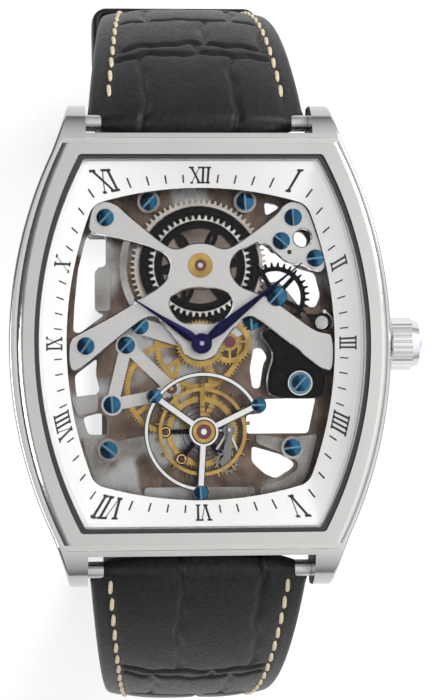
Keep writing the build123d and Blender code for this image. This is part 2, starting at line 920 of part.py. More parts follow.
# Place and heading of the strap's middle at a length from the bar: y, z and the turn from +Z
def strap_place(length):
    if length <= tuck_start:
        turn = start_turn + math.degrees(length / curl_radius)
        angle = math.radians(turn)
        return (curl_radius * math.sin(angle), curl_z + curl_radius * math.cos(angle), turn)
    if length <= tuck_start + tuck_length:
        turn = start_turn + curl_turn + math.degrees((length - tuck_start) / tuck_radius)
        angle = math.radians(turn)
        return (tuck_y + tuck_radius * math.sin(angle), tuck_z + tuck_radius * math.cos(angle), turn)
    return (tuck_y - (length - tuck_start - tuck_length), flat_z, 180.0)


def strap_width_at(length, whole_length, pointed):
    taper = min(length / strap_taper_length, 1)
    width = strap_width + (strap_end_width - strap_width) * taper
    left = whole_length - length
    if pointed and left < tip_length:
        share = 1 - left / tip_length
        width = tip_end_width + (strap_end_width - tip_end_width) * math.sqrt(1 - share**2)
    return width


def strap_thickness_at(length):
    share = min(length / strap_padding_length, 1)
    return strap_thickness + (strap_end_thickness - strap_thickness) * math.sin(math.radians(90 * share))


# The local frame at a length: X across the strap, Y along it, Z outwards
def strap_location(length):
    y, z, turn = strap_place(length)
    return Pos(0, y, z) * Rot(-turn, 0, 0)


def strap_section(length, whole_length, pointed):
    width = strap_width_at(length, whole_length, pointed)
    face = Plane.XZ * Rectangle(width, strap_thickness_at(length))
    return strap_location(length) * face


def station_lengths(whole_length, pointed):
    breaks = [0.0, tuck_start, tuck_start + tuck_length]
    if pointed:
        breaks.append(whole_length - tip_length)
    breaks = [place for place in breaks if place < whole_length] + [whole_length]
    lengths = [0.0]
    for index in range(len(breaks) - 1):
        span = breaks[index + 1] - breaks[index]
        steps = max(math.ceil(span / strap_station_length), 3)
        for step in range(steps):
            lengths.append(breaks[index] + span * (step + 1) / steps)
    return lengths


def strap_half(whole_length, pointed):
    lengths = station_lengths(whole_length, pointed)
    sections = [strap_section(length, whole_length, pointed) for length in lengths]
    body = loft(sections, ruled=True)
    half = strap_width / 2 - seat_gap
    body += bar_x(strap_thickness / 2 + seat_gap, -half, half, bar_y, bar_z)
    body -= bar_x(bar_radius + running_gap, -strap_width, strap_width, bar_y, bar_z)
    return body


def strap_12():
    body = strap_half(short_length, False)
    half = strap_end_width / 2 - seat_gap
    body += strap_location(short_length) * bar_x(strap_end_thickness / 2 + seat_gap, -half, half)
    body -= strap_location(short_length) * bar_x(buckle_bar_radius + running_gap, -strap_width, strap_width)
    slot_width = tongue_width + 2 * buckle_gap
    slot = Box(slot_width, 2 * tongue_slot_length, strap_thickness)
    body -= strap_location(short_length) * slot
    return one_solid(body)


def strap_6():
    body = strap_half(long_length, True)
    for index in range(hole_count):
        place = strap_location(long_length - hole_margin - hole_pitch * index)
        body -= place * Cylinder(hole_radius, 2 * strap_thickness)
    return mirror(one_solid(body), about=Plane.XZ)


def keeper(place, grip):
    inner_width = strap_width_at(place, short_length, False) + 2 * grip
    thickness = strap_thickness_at(place)
    inner_height = thickness + keeper_room + 2 * grip
    outer = Box(inner_width + 2 * keeper_wall, keeper_length, inner_height + 2 * keeper_wall)
    hole = Box(inner_width, keeper_length + 2 * overrun, inner_height)
    body = chamfer(outer.edges().filter_by(Axis.Y), keeper_wall / 2) - hole
    return strap_location(place) * Pos(0, 0, keeper_room / 2) * body


def lug_bar(side):
    half = lug_gap / 2 - seat_gap
    body = bar_x(bar_radius, -half, half, side * bar_y, bar_z)
    reach = lug_gap / 2 + bar_tip_length
    return body + bar_x(bar_tip_radius, -reach, reach, side * bar_y, bar_z)


# Buckle, in a frame whose Y points from its bar to its front edge
def buckle_location():
    y, z = strap_place(short_length)[:2]
    return Pos(0, y, z) * Rot(180 + buckle_droop, 0, 0)


def buckle_frame():
    inner = strap_end_width / 2 + buckle_gap
    outer = inner + buckle_arm
    length = buckle_length + buckle_back
    block = Pos(0, length / 2 - buckle_back, 0) * Box(2 * outer, length, buckle_thickness)
    block = chamfer(block.edges().filter_by(Axis.Z), buckle_round)
    block = chamfer(block.faces().sort_by(Axis.Z)[-1].edges(), buckle_round / 2)
    opening = length - buckle_front
    block -= Pos(0, opening / 2 - buckle_back - overrun / 2, 0) * Box(
        2 * inner, opening + overrun, buckle_thickness + overrun
    )
    reach = inner + buckle_arm / 2 + seat_gap
    block -= bar_x(bar_tip_radius + running_gap, -reach, reach)
    return buckle_location() * one_solid(block)


def buckle_bar():
    half = strap_end_width / 2 + buckle_gap - seat_gap
    body = bar_x(buckle_bar_radius, -half, half)
    reach = half + buckle_arm / 2
    return buckle_location() * (body + bar_x(bar_tip_radius, -reach, reach))


def buckle_tongue():
    half = tongue_width / 2
    ring = bar_x(tongue_ring_radius, -half, half)
    low = buckle_thickness / 2 + seat_gap
    length = buckle_length + tongue_overhang
    blade = Pos(0, length / 2, low + tongue_thickness / 2) * Box(tongue_width, length, tongue_thickness)
    blade = chamfer(blade.edges().filter_by(Axis.Z).sort_by(Axis.Y)[-2:], half / 2)
    body = ring + blade
    body -= bar_x(buckle_bar_radius + running_gap, -tongue_width, tongue_width)
    return buckle_location() * one_solid(body)


# Movement holder and main plate
def movement_holder():
    outer = tonneau(holder_half_width, holder_half_height, holder_corner_x, hollow_corner_round)
    inner = tonneau(
        holder_inner_half_width, holder_inner_half_height, holder_inner_corner_x, main_corner_round
    )
    ledge = tonneau(
        holder_inner_half_width - holder_ledge, holder_inner_half_height - holder_ledge,
        holder_inner_corner_x - holder_ledge, main_corner_round,
    )
    body = prism(outer, holder_low, holder_top)
    body -= prism(inner, main_low - seat_gap, holder_top + overrun)
    body -= prism(ledge, holder_low - overrun, main_low)
    body -= bar_x(tube_radius, holder_inner_half_width - overrun, holder_half_width + overrun, 0, stem_z)
    return one_solid(body)


left_upper_window_shares = (
    (-0.79, 0.74), (-0.70, 0.71), (-0.70, 0.51), (-0.77, 0.50), (-0.77, 0.21), (-0.71, 0.20), (-0.90, 0.08),
    (-0.95, 0.09), (-0.94, 0.25), (-0.91, 0.49), (-0.85, 0.69),
)
left_middle_window_shares = (
    (-0.94, -0.19), (-0.77, -0.08), (-0.78, -0.18), (-0.75, -0.29), (-0.90, -0.40), (-0.93, -0.30),
)
left_lower_window_shares = ((-0.88, -0.46), (-0.75, -0.43), (-0.69, -0.46), (-0.69, -0.57), (-0.84, -0.57))
right_middle_window_shares = (
    (0.49, -0.35), (0.90, -0.34), (0.84, -0.57), (0.36, -0.57), (0.36, -0.45), (0.49, -0.44),
)
right_strip_window_shares = (
    (0.42, -0.02), (0.49, -0.02), (0.53, -0.08), (0.50, -0.12), (0.47, -0.28), (0.41, -0.28), (0.39, -0.16),
)
right_lower_window_shares = (
    (0.40, -0.65), (0.64, -0.71), (0.73, -0.76), (0.72, -0.79), (0.59, -0.86), (0.50, -0.83), (0.40, -0.75),
)
right_top_window_shares = ((0.51, 0.92), (0.62, 0.90), (0.62, 0.88), (0.52, 0.83))
crown_window_shares = (
    (0.48, 0.66), (0.77, 0.49), (0.90, 0.46), (0.94, 0.32), (0.90, 0.24), (0.77, 0.25), (0.68, 0.35),
    (0.61, 0.41), (0.52, 0.40), (0.46, 0.42), (0.45, 0.53),
)
plate_windows = (
    left_upper_window_shares, left_middle_window_shares, left_lower_window_shares,
    right_middle_window_shares, right_strip_window_shares, right_lower_window_shares,
    right_top_window_shares, crown_window_shares,
)
bridge_hole_share = (0.77, 0.67)
bridge_pin_hole_share = (0.67, 0.58)
left_block_shares = ((-0.785, 0.22), (-0.785, 0.485), (-0.67, 0.485), (-0.67, 0.22))
left_arm_shares = ((-0.97, -0.33), (-0.765, -0.31), (-0.765, -0.42), (-0.92, -0.45))
foot_plate_shares = ((-0.42, -0.99), (0.42, -0.99), (0.42, -0.91), (-0.42, -0.91))
lower_left_plate_shares = (
    (-0.89, -0.58), (-0.74, -0.62), (-0.55, -0.60), (-0.40, -0.575), (-0.39, -0.65), (-0.58, -0.71),
    (-0.69, -0.76), (-0.72, -0.83), (-0.62, -0.885), (-0.45, -0.91), (-0.45, -0.99), (-0.69, -0.97),
    (-0.80, -0.86),
)
lower_right_plate_shares = (
    (0.90, -0.575), (0.77, -0.59), (0.65, -0.60), (0.43, -0.575), (0.43, -0.63), (0.64, -0.70),
    (0.75, -0.75), (0.75, -0.80), (0.62, -0.87), (0.46, -0.91), (0.46, -0.99), (0.72, -0.96), (0.82, -0.84),
)
raised_plates = (
    left_block_shares, left_arm_shares, foot_plate_shares, lower_left_plate_shares, lower_right_plate_shares,
)


def barrel_side_wall():
    ring = Circle(barrel_wall_outer) - Circle(barrel_wall_inner)
    reach = 2 * barrel_wall_outer
    start = polar(reach, barrel_wall_start)
    middle = polar(reach, barrel_wall_start + barrel_wall_turn / 2)
    end = polar(reach, barrel_wall_start + barrel_wall_turn)
    step = ring & Polygon((0, 0), start, middle, end)
    return Pos(0, barrel_y, 0) * prism(step, main_low, barrel_wall_top)


def main_plate():
    shrink = seat_gap
    outline = tonneau(
        holder_inner_half_width - shrink, holder_inner_half_height - shrink,
        holder_inner_corner_x - shrink, main_corner_round,
    )
    body = prism(outline, main_low, main_top)
    for shares in plate_windows:
        body -= prism(smooth_plate(shares), main_low - overrun, main_top + overrun)
    for shares in raised_plates:
        body += prism(smooth_plate(shares) & outline, main_low, main_block_top)
    body -= disc(bridge_hole_radius, main_low - overrun, main_top + overrun, *plate_point(bridge_hole_share))
    body += barrel_side_wall()
    for share in bridge_screw_shares:
        x, y = plate_point(share)
        body += disc(bridge_pillar_radius, main_low, bridge_low, x, y)
    x, y = plate_point(lower_right_pillar_share)
    body += disc(stem_radius, main_low, bridge_low, x, y)
    for share in low_screw_shares:
        x, y = plate_point(share)
        body += disc(boss_radius, main_low, low_boss_top, x, y)
    x, y = plate_point(cover_screw_share)
    body += disc(cover_post_radius, main_low, cover_low, x, y)
    body += disc(cover_post_radius, main_low, ratchet_z - running_gap, crown_wheel_x, crown_wheel_y)
    body += disc(cover_post_radius, main_low, ratchet_z - running_gap, click_x, click_y)
    body -= bar_x(stem_radius + running_gap, stem_inner_x - overrun, plate_half_width + overrun, 0, stem_z)
    for share in bridge_screw_shares:
        body -= thread_hole(*plate_point(share), bridge_low)
    for share in low_screw_shares:
        body -= thread_hole(*plate_point(share), low_boss_top)
    body -= thread_hole(*plate_point(cover_screw_share), cover_top)
    body -= thread_hole(crown_wheel_x, crown_wheel_y, ratchet_z)
    body -= thread_hole(click_x, click_y, ratchet_z)
    for share in train_screw_shares:
        body -= thread_hole(*plate_point(share), train_top)
    post_hole = fixed_post_radius + seat_gap
    for index in (0, 2):
        body -= disc(post_hole, main_top, main_block_top + overrun, *fixed_foot(index))
    pivot = pivot_radius + running_gap
    for x, y in ((0, 0), (0, barrel_y), (third_x, third_y), (tourbillon_x, tourbillon_y)):
        body -= disc(pivot, main_low - overrun, main_top + overrun, x, y)
    return one_solid(body)


bridge_shares = (
    (-0.84, 0.70), (-0.83, 0.80), (-0.79, 0.90), (-0.70, 0.91), (-0.61, 0.88), (-0.57, 0.84), (-0.40, 0.72),
    (-0.24, 0.61), (-0.15, 0.60), (-0.07, 0.64), (0.07, 0.64), (0.16, 0.60), (0.24, 0.61), (0.42, 0.72),
    (0.59, 0.83), (0.62, 0.88), (0.70, 0.91), (0.80, 0.88), (0.85, 0.78), (0.91, 0.62), (0.95, 0.52),
    (0.93, 0.45), (0.86, 0.46), (0.77, 0.50), (0.67, 0.50), (0.59, 0.55), (0.52, 0.62), (0.44, 0.645),
    (0.36, 0.61), (0.27, 0.58), (0.22, 0.50), (0.24, 0.42), (0.30, 0.36), (0.40, 0.33), (0.50, 0.30),
    (0.66, 0.21), (0.86, 0.08), (0.95, 0.07), (1.0, 0.05), (1.0, -0.18), (0.92, -0.17), (0.70, -0.02),
    (0.37, 0.20), (0.25, 0.10), (0.16, 0.0), (0.11, -0.085), (0.0, -0.115), (-0.11, -0.085), (-0.16, 0.0),
    (-0.25, 0.10), (-0.37, 0.20), (-0.66, 0.01), (-0.93, -0.18), (-0.99, -0.15), (-0.99, 0.03), (-0.91, 0.07),
    (-0.70, 0.16), (-0.46, 0.28), (-0.27, 0.38), (-0.22, 0.47), (-0.23, 0.54), (-0.30, 0.59), (-0.46, 0.64),
    (-0.72, 0.69),
)
bridge_window_shares = (
    (-0.24, 0.24), (-0.22, 0.31), (-0.10, 0.35), (0.0, 0.355), (0.12, 0.35), (0.23, 0.31), (0.25, 0.24),
    (0.18, 0.15), (0.10, 0.125), (0.0, 0.135), (-0.10, 0.125), (-0.17, 0.15),
)


def top_bridge():
    face = smooth_plate(bridge_shares, bridge_round)
    body = chamfer_top(prism(face, bridge_low, bridge_top), bridge_bevel)
    window = smooth_plate(bridge_window_shares, bridge_round)
    body -= prism(window, bridge_low - overrun, bridge_top + overrun)
    x, y = plate_point(bridge_hole_share)
    body -= disc(bridge_hole_radius, bridge_low - overrun, bridge_top + overrun, x, y)
    body = chamfer_holes(body, bridge_bevel)
    x, y = plate_point(bridge_pin_hole_share)
    body -= disc(bridge_pin_hole_radius, bridge_low - overrun, bridge_top + overrun, x, y)
    body -= disc(hour_pipe_radius + running_gap, bridge_low - overrun, bridge_top + overrun)
    seat = jewel_radius + barrel_chaton_width + seat_gap
    body -= disc(seat, bridge_low - overrun, bridge_top + overrun, 0, barrel_y)
    hole = screw_thread_radius + running_gap
    body -= disc(hole, bridge_low - overrun, bridge_top + overrun, crown_wheel_x, crown_wheel_y)
    for share in bridge_screw_shares:
        x, y = plate_point(share)
        body -= disc(screw_thread_radius + seat_gap, bridge_low - overrun, bridge_top + overrun, x, y)
    return one_solid(body)


def screw_group(shares, z):
    screws = []
    for index, share in enumerate(shares):
        x, y = plate_point(share)
        screws.append(screw(x, y, z, screw_step_angle * (index + 1)))
    return screws


def arm_between(first, last, width):
    length = distance(last[0] - first[0], last[1] - first[1])
    turn = direction(last[0] - first[0], last[1] - first[1])
    middle = ((first[0] + last[0]) / 2, (first[1] + last[1]) / 2)
    return Pos(middle[0], middle[1]) * Rot(0, 0, turn) * Rectangle(length, width)


def centre_bridge():
    ends = [plate_point(share) for share in centre_screw_shares]
    face = Circle(centre_bridge_width)
    for end in ends:
        face += arm_between((0, 0), end, centre_bridge_width)
        face += Pos(end[0], end[1]) * Circle(centre_foot_radius)
    face += arm_between((0, 0), (minute_x, minute_y), centre_bridge_width)
    face += Pos(minute_x, minute_y) * Circle(centre_foot_radius)
    body = prism(face, centre_bridge_low, centre_bridge_top)
    for end in ends:
        body += disc(centre_foot_radius, main_top, centre_bridge_low, end[0], end[1])
    body += disc(centre_arbor_radius, centre_bridge_top, hour_wheel_z, minute_x, minute_y)
    body -= disc(cannon_radius + running_gap, centre_bridge_low - overrun, centre_bridge_top + overrun)
    for end in ends:
        body -= thread_hole(end[0], end[1], centre_bridge_top)
    return one_solid(body)


def train_bridge():
    first, second = [plate_point(share) for share in train_screw_shares]
    axis = (third_x, third_y)
    left_foot = fixed_foot(1)
    face = arm_between(first, axis, train_arm_width)
    face += arm_between(second, left_foot, train_arm_width)
    face += arm_between(first, second, train_arm_width)
    face += arm_between(left_foot, axis, train_arm_width)
    for x, y in (first, second):
        face += Pos(x, y) * Circle(train_foot_radius)
    face += Pos(left_foot[0], left_foot[1]) * Circle(fixed_foot_radius)
    face += Pos(third_x, third_y) * Circle(jewel_radius + chaton_width)
    body = prism(face, train_low, train_top)
    for x, y in (first, second):
        body += disc(train_foot_radius, main_top, train_low, x, y)
    for x, y in (first, second):
        body -= disc(screw_thread_radius + seat_gap, main_top - overrun, train_top + overrun, x, y)
    body -= disc(jewel_radius, train_low - overrun, train_top + overrun, third_x, third_y)
    return one_solid(body)


keyless_cover_shares = (
    (0.44, 0.08), (0.48, 0.01), (0.54, -0.05), (0.53, -0.12), (0.50, -0.18), (0.49, -0.28), (0.52, -0.34),
    (0.70, -0.35), (0.88, -0.35), (0.94, -0.32), (0.96, -0.22), (0.86, -0.03), (0.68, 0.10), (0.56, 0.11),
)


def keyless_cover():
    face = smooth_plate(keyless_cover_shares, bridge_round)
    body = chamfer_top(prism(face, cover_low, cover_top), cover_bevel)
    body += disc(stem_radius, ratchet_z, cover_low, transmission_x, 0)
    x, y = plate_point(cover_screw_share)
    return body - disc(screw_thread_radius + seat_gap, cover_low - overrun, cover_top + overrun, x, y)


# Barrel
barrel_phase = 0.0
barrel_line = -90.0
centre_pinion_phase = mesh_phase(barrel_phase, barrel_teeth, centre_leaves, barrel_line)


def barrel_drum():
    face = gear_face(barrel_teeth, barrel_module, barrel_phase) - Circle(barrel_arbor_radius + running_gap)
    body = prism(face, barrel_teeth_z, barrel_teeth_z + barrel_wall)
    shell = Circle(barrel_body_radius) - Circle(barrel_arbor_radius + running_gap)
    body += prism(shell, barrel_low, barrel_top - barrel_cover_thickness)
    inside = Circle(barrel_body_radius - barrel_wall) - Circle(barrel_arbor_radius - seat_gap)
    body -= prism(inside, barrel_low + barrel_wall, barrel_top)
    return Pos(0, barrel_y, 0) * one_solid(body)


def barrel_cover():
    low = barrel_top - barrel_cover_thickness + seat_gap
    face = Circle(barrel_body_radius) - Circle(barrel_arbor_radius + running_gap)
    return Pos(0, barrel_y, 0) * chamfer_top(prism(face, low, barrel_top), barrel_cover_bevel)


def barrel_arbor():
    body = disc(pivot_radius, main_low, main_top)
    body += disc(barrel_arbor_radius / 2, main_top + free_gap, barrel_low)
    body += disc(barrel_arbor_radius, barrel_low, barrel_top)
    body += disc(pivot_radius, main_low, barrel_low)
    body += disc(barrel_arbor_radius / 2, barrel_top, ratchet_z + ratchet_thickness)
    body += disc(pivot_radius, ratchet_z, bridge_top)
    return Pos(0, barrel_y, 0) * one_solid(body)


# A flat spiral of half turns, each a little wider, swept by a thin upright strip
def spiral(start, pitch, half_turns, strip, height):
    edges = []
    x = 0
    side = 1
    for index in range(half_turns):
        radius = start + pitch * index / 2
        centre = x - side * radius
        edges.append(CenterArc((centre, 0), radius, 0 if side > 0 else 180, 180))
        x = centre - side * radius
        side = -side
    path = Wire(edges)
    section = Plane(origin=path @ 0, x_dir=(1, 0, 0), z_dir=path % 0) * Rectangle(strip, height)
    return sweep(section, path=path)


# Where the spiral ends, along X from its own centre line
def spiral_end(start, pitch, half_turns):
    place = start
    side = 1
    for index in range(half_turns):
        place -= side * 2 * (start + pitch * index / 2)
        side = -side
    return place


# The least space between neighbouring turns, measured on points of a spiral's middle line
def spiral_least_gap(start, pitch, half_turns, strip):
    turns = []
    x = 0
    side = 1
    for index in range(half_turns):
        radius = start + pitch * index / 2
        centre = x - side * radius
        points = []
        for step in range(spiral_samples + 1):
            angle = (0 if side > 0 else 180) + 180 / spiral_samples * step
            along = polar(radius, angle)
            points.append((centre + along[0], along[1]))
        turns.append(points)
        x = centre - side * radius
        side = -side
    least = start * half_turns
    for index in range(half_turns - 2):
        for first in turns[index]:
            for second in turns[index + 2]:
                least = min(least, distance(first[0] - second[0], first[1] - second[1]))
    return least - strip


def mainspring():
    low = barrel_low + barrel_wall + free_gap
    high = barrel_top - barrel_cover_thickness - free_gap
    body = spiral(
        barrel_arbor_radius + mainspring_thickness, mainspring_pitch, 2 * mainspring_turns,
        mainspring_thickness, high - low,
    )
    return Pos(barrel_arbor_radius + mainspring_thickness, barrel_y, (low + high) / 2) * body


# Winding wheels: curved windows show in the ratchet wheel
ratchet_phase = 0.0
winding_line = direction(*winding_run)
crown_wheel_phase = mesh_phase(ratchet_phase, ratchet_teeth, crown_wheel_teeth, winding_line)
transmission_line = direction(transmission_x - crown_wheel_x, -crown_wheel_y)
transmission_phase = mesh_phase(crown_wheel_phase, crown_wheel_teeth, transmission_teeth, transmission_line)
ratchet_spokes = 6
ratchet_window_inner = 1.9
ratchet_window_outer = 4.0


def curved_spokes(count, inner, outer, width):
    arms = Sketch()
    radius = outer - inner
    for index in range(count):
        ring = Circle(radius + width / 2) - Circle(radius - width / 2)
        arms += Rot(0, 0, 360 / count * index) * Pos((inner + outer) / 2, radius) * ring
    return arms & (Circle(outer) - Circle(inner))


def ratchet_wheel():
    face = gear_face(ratchet_teeth, winding_module, ratchet_phase)
    face -= Circle(ratchet_window_outer) - Circle(ratchet_window_inner)
    inner = ratchet_window_inner - seat_gap
    outer = ratchet_window_outer + seat_gap
    face += curved_spokes(ratchet_spokes, inner, outer, spoke_width)
    face -= Circle(barrel_arbor_radius / 2 + seat_gap)
    return Pos(0, barrel_y, 0) * one_solid(prism(face, ratchet_z, ratchet_z + ratchet_thickness))


def crown_wheel():
    body = spoked_wheel(
        crown_wheel_teeth, winding_module, crown_wheel_phase, 5, rim_width, crown_wheel_hub,
        spoke_width, ratchet_z, ratchet_thickness, screw_thread_radius + running_gap,
    )
    return Pos(crown_wheel_x, crown_wheel_y, 0) * one_solid(body)


# The crown wheel's long screw: its head lies on the bridge and its shank carries the wheel
def crown_wheel_screw():
    x, y = crown_wheel_x, crown_wheel_y
    shank = disc(screw_thread_radius, ratchet_z - screw_thread_length, bridge_top, x, y)
    return one_solid(screw(x, y, bridge_top, screw_step_angle, crown_screw_head) + shank)


def transmission_wheel():
    face = gear_face(transmission_teeth, winding_module, transmission_phase)
    face -= Circle(stem_radius + running_gap)
    return Pos(transmission_x, 0, 0) * prism(face, ratchet_z, ratchet_z + ratchet_thickness)


def winding_pinion():
    top_room = ratchet_z - free_gap - stem_z
    module = 2 * top_room / (winding_teeth + 2 * tip_share)
    face = gear_face(winding_teeth, module) - Circle(stem_radius + running_gap)
    body = extrude(face, amount=winding_length, dir=UP)
    return Pos(transmission_x + stem_radius, 0, stem_z) * Rot(0, 90, 0) * body


# Click: a small lever whose beak stays a hair off the crown wheel's teeth
def click():
    turn = direction(crown_wheel_x - click_x, crown_wheel_y - click_y)
    run = distance(crown_wheel_x - click_x, crown_wheel_y - click_y)
    tip_radius = winding_module * (crown_wheel_teeth / 2 + tip_share)
    reach = run - tip_radius - free_gap
    beak = Polygon((0, -screw_head_radius), (reach, -screw_edge), (reach, screw_edge), (0, screw_head_radius))
    face = Circle(screw_head_radius) + beak
    face -= Circle(screw_thread_radius + running_gap)
    return Pos(click_x, click_y, 0) * Rot(0, 0, turn) * one_solid(
        prism(face, ratchet_z, ratchet_z + ratchet_thickness)
    )


def click_spring():
    inner = screw_head_radius + 2 * free_gap
    ring = Circle(inner + free_gap) - Circle(inner)
    reach = 2 * (inner + free_gap)
    corners = [polar(reach, angle) for angle in click_spring_angles]
    cut = ring & Polygon((0, 0), *corners)
    foot = Pos(*polar(inner + free_gap, click_spring_angles[-1])) * Circle(2 * free_gap)
    outside = Circle(screw_head_radius + free_gap)
    body = prism((cut + foot) - outside, main_top, ratchet_z + ratchet_thickness)
    return Pos(click_x, click_y, 0) * one_solid(body)


# The click's screw has a wide head with a turned groove
def click_screw():
    z = ratchet_z + ratchet_thickness + running_gap
    body = screw(click_x, click_y, z, screw_step_angle, click_screw_head, click_screw_height)
    top = z + click_screw_height
    groove = tube(click_groove_outer, click_groove_inner, top - click_groove_depth, top + overrun)
    return body - Pos(click_x, click_y, 0) * groove


# A plain ring round the screw of the black cover
def cover_washer():
    x, y = plate_point(cover_screw_share)
    top = cover_top + cover_washer_height
    ring = tube(cover_washer_outer, screw_head_radius + seat_gap, cover_top, top, x, y)
    return chamfer_top(ring, screw_edge / 2)


# Going train
centre_line = direction(third_x, third_y)
centre_phase = 0.0
third_pinion_phase = mesh_phase(centre_phase, centre_teeth, third_leaves, centre_line)
third_line = direction(*third_run)
third_phase = 0.0
carriage_phase = mesh_phase(third_phase, third_teeth, carriage_leaves, third_line)


def centre_wheel():
    body = spoked_wheel(
        centre_teeth, centre_module, centre_phase, 5, rim_width, wheel_hub_radius, spoke_width,
        centre_wheel_z, wheel_thickness, 0,
    )
    leaves = gear_face(centre_leaves, barrel_module, centre_pinion_phase)
    body += prism(leaves, barrel_teeth_z - free_gap, barrel_teeth_z + barrel_wall + free_gap)
    body += disc(centre_arbor_radius, centre_wheel_z, hand_cap_top - free_gap)
    body += disc(pivot_radius, main_low, centre_wheel_z)
    return one_solid(body)


def cannon_pinion():
    phase = 0.0
    face = gear_face(cannon_leaves, cannon_module, phase) - Circle(centre_arbor_radius + seat_gap)
    low = centre_bridge_low
    body = tube(cannon_radius, centre_arbor_radius + seat_gap, low, minute_hand_low)
    return one_solid(body + prism(face, minute_wheel_z - free_gap / 2, hour_wheel_z - free_gap))


minute_line = direction(minute_x, minute_y)
minute_phase = mesh_phase(0.0, cannon_leaves, minute_teeth, minute_line)
hour_phase = mesh_phase(0.0, minute_leaves, hour_teeth, minute_line + 180)


def minute_wheel():
    bore = centre_arbor_radius + running_gap
    body = spoked_wheel(
        minute_teeth, cannon_module, minute_phase, 4, rim_width, wheel_hub_radius, spoke_width / 2,
        minute_wheel_z, wheel_thickness, bore,
    )
    leaves = gear_face(minute_leaves, hour_module) - Circle(bore)
    top = minute_wheel_z + wheel_thickness
    body += prism(leaves, top, top + motion_leaf_length)
    return Pos(minute_x, minute_y, 0) * one_solid(body)


def hour_wheel():
    bore = cannon_radius + running_gap
    face = gear_face(hour_teeth, hour_module, hour_phase) - Circle(bore)
    body = prism(face, hour_wheel_z, hour_wheel_z + wheel_thickness)
    body += tube(hour_pipe_radius, bore, hour_wheel_z, hour_hand_high)
    return one_solid(body)


def third_wheel():
    body = spoked_wheel(
        third_teeth, third_module, third_phase, 5, rim_width, wheel_hub_radius, spoke_width,
        third_wheel_z, wheel_thickness, 0,
    )
    leaves = gear_face(third_leaves, centre_module, third_pinion_phase)
    body += prism(leaves, third_wheel_z, train_low - free_gap / 2)
    body += disc(pivot_radius, main_low, third_wheel_z)
    body += disc(jewel_hole - running_gap, train_low - free_gap, train_top)
    return Pos(third_x, third_y, 0) * one_solid(body)


# Hands: slim blades with a ridge that narrow to a needle, on a round boss
def hand(length, half_width, low, high, turn, bore):
    widest = length * hand_widest_share
    neck = length * hand_neck_share
    neck_width = half_width * hand_neck_width_share
    tip = hand_tip_half_width
    face = Polygon(
        (-hand_hub_radius, 0), (widest, -half_width), (neck, -neck_width), (length, -tip),
        (length, tip), (neck, neck_width), (widest, half_width),
    )
    face += Circle(hand_hub_radius)
    body = prism(face, low, high)
    fall = math.tan(math.radians(hand_facet_angle))
    block = 2 * length
    for side in (-1, 1):
        wedge = Box(2 * block, block, block)
        wedge = Pos(0, block / 2, block / 2) * wedge
        wedge = Rot(-hand_facet_angle, 0, 0) * wedge
        if side < 0:
            wedge = mirror(wedge, about=Plane.XZ)
        body -= Pos(hand_hub_radius, 0, high) * Pos(block, 0, 0) * wedge
    body -= disc(bore + seat_gap, low - overrun, high + overrun)
    return Rot(0, 0, turn) * one_solid(body)


def hour_hand():
    return hand(
        hour_hand_length, hour_hand_half_width, hour_hand_low, hour_hand_high, hour_angle, hour_pipe_radius
    )


def minute_hand():
    body = hand(
        minute_hand_length, minute_hand_half_width, minute_hand_low, minute_hand_high,
        minute_angle, centre_arbor_radius,
    )
    return body


def hand_cap():
    body = tube(hand_cap_radius, centre_arbor_radius + seat_gap, minute_hand_high, hand_cap_top - free_gap)
    return body + domed_head(hand_cap_radius, hand_cap_top - free_gap, hand_cap_top)


# Tourbillon, modelled about its own axis and then moved to its place
fixed_line = escape_angle
fixed_phase = escape_angle
escape_leaf_phase = mesh_phase(fixed_phase, fixed_teeth, escape_leaves, fixed_line)


def at_tourbillon(shape):
    return Pos(tourbillon_x, tourbillon_y, 0) * shape


def fixed_foot(index):
    along = polar(fixed_foot_place, carriage_arm_angles[index])
    return (tourbillon_x + along[0], tourbillon_y + along[1])


def fixed_seconds_wheel():
    ring = gear_face(fixed_teeth, escape_module, fixed_phase)
    ring -= Circle(root_of(fixed_teeth, escape_module) - fixed_rim_width)
    away = direction(-third_run[0], -third_run[1]) + 180
    body = prism(ring, fixed_wheel_z, fixed_wheel_z + wheel_thickness)
    place = root_of(fixed_teeth, escape_module) - fixed_rim_width / 2
    for turn in fixed_leg_angles:
        x, y = polar(place, away + turn)
        body += disc(fixed_leg_radius, main_top, fixed_wheel_z + wheel_thickness, x, y)
    return at_tourbillon(one_solid(body))


def carriage():
    arms = Circle(carriage_hub_radius)
    for angle in carriage_arm_angles:
        arms += spoke(carriage_pillar_place, carriage_arm_width, angle)
        arms += Pos(*polar(carriage_pillar_place, angle)) * Circle(carriage_pillar_radius)
    eyes = ((escape_place, escape_angle), (pallet_place, pallet_angle), *carriage_spare_eyes)
    for radius, angle in eyes:
        arms += spoke(radius, carriage_arm_width, angle)
        arms += Pos(*polar(radius, angle)) * Circle(carriage_eye_radius)
    high = carriage_low + carriage_plate
    body = prism(arms, carriage_low, high)
    for angle in carriage_arm_angles:
        x, y = polar(carriage_pillar_place, angle)
        body += disc(carriage_pillar_radius, carriage_low, carriage_high, x, y)
    leaves = gear_face(carriage_leaves, third_module, carriage_phase)
    body += prism(leaves, carriage_pinion_z, carriage_pinion_z + leaf_thickness)
    body += disc(centre_arbor_radius, carriage_pinion_z, carriage_low)
    body += disc(pivot_radius, main_low, carriage_pinion_z)
    pivot = pivot_radius + running_gap
    for radius, angle in eyes:
        body -= disc(pivot, carriage_low - overrun, high + overrun, *polar(radius, angle))
    body -= disc(jewel_hole + running_gap, carriage_low + carriage_plate / 2, high + overrun)
    return at_tourbillon(one_solid(body))


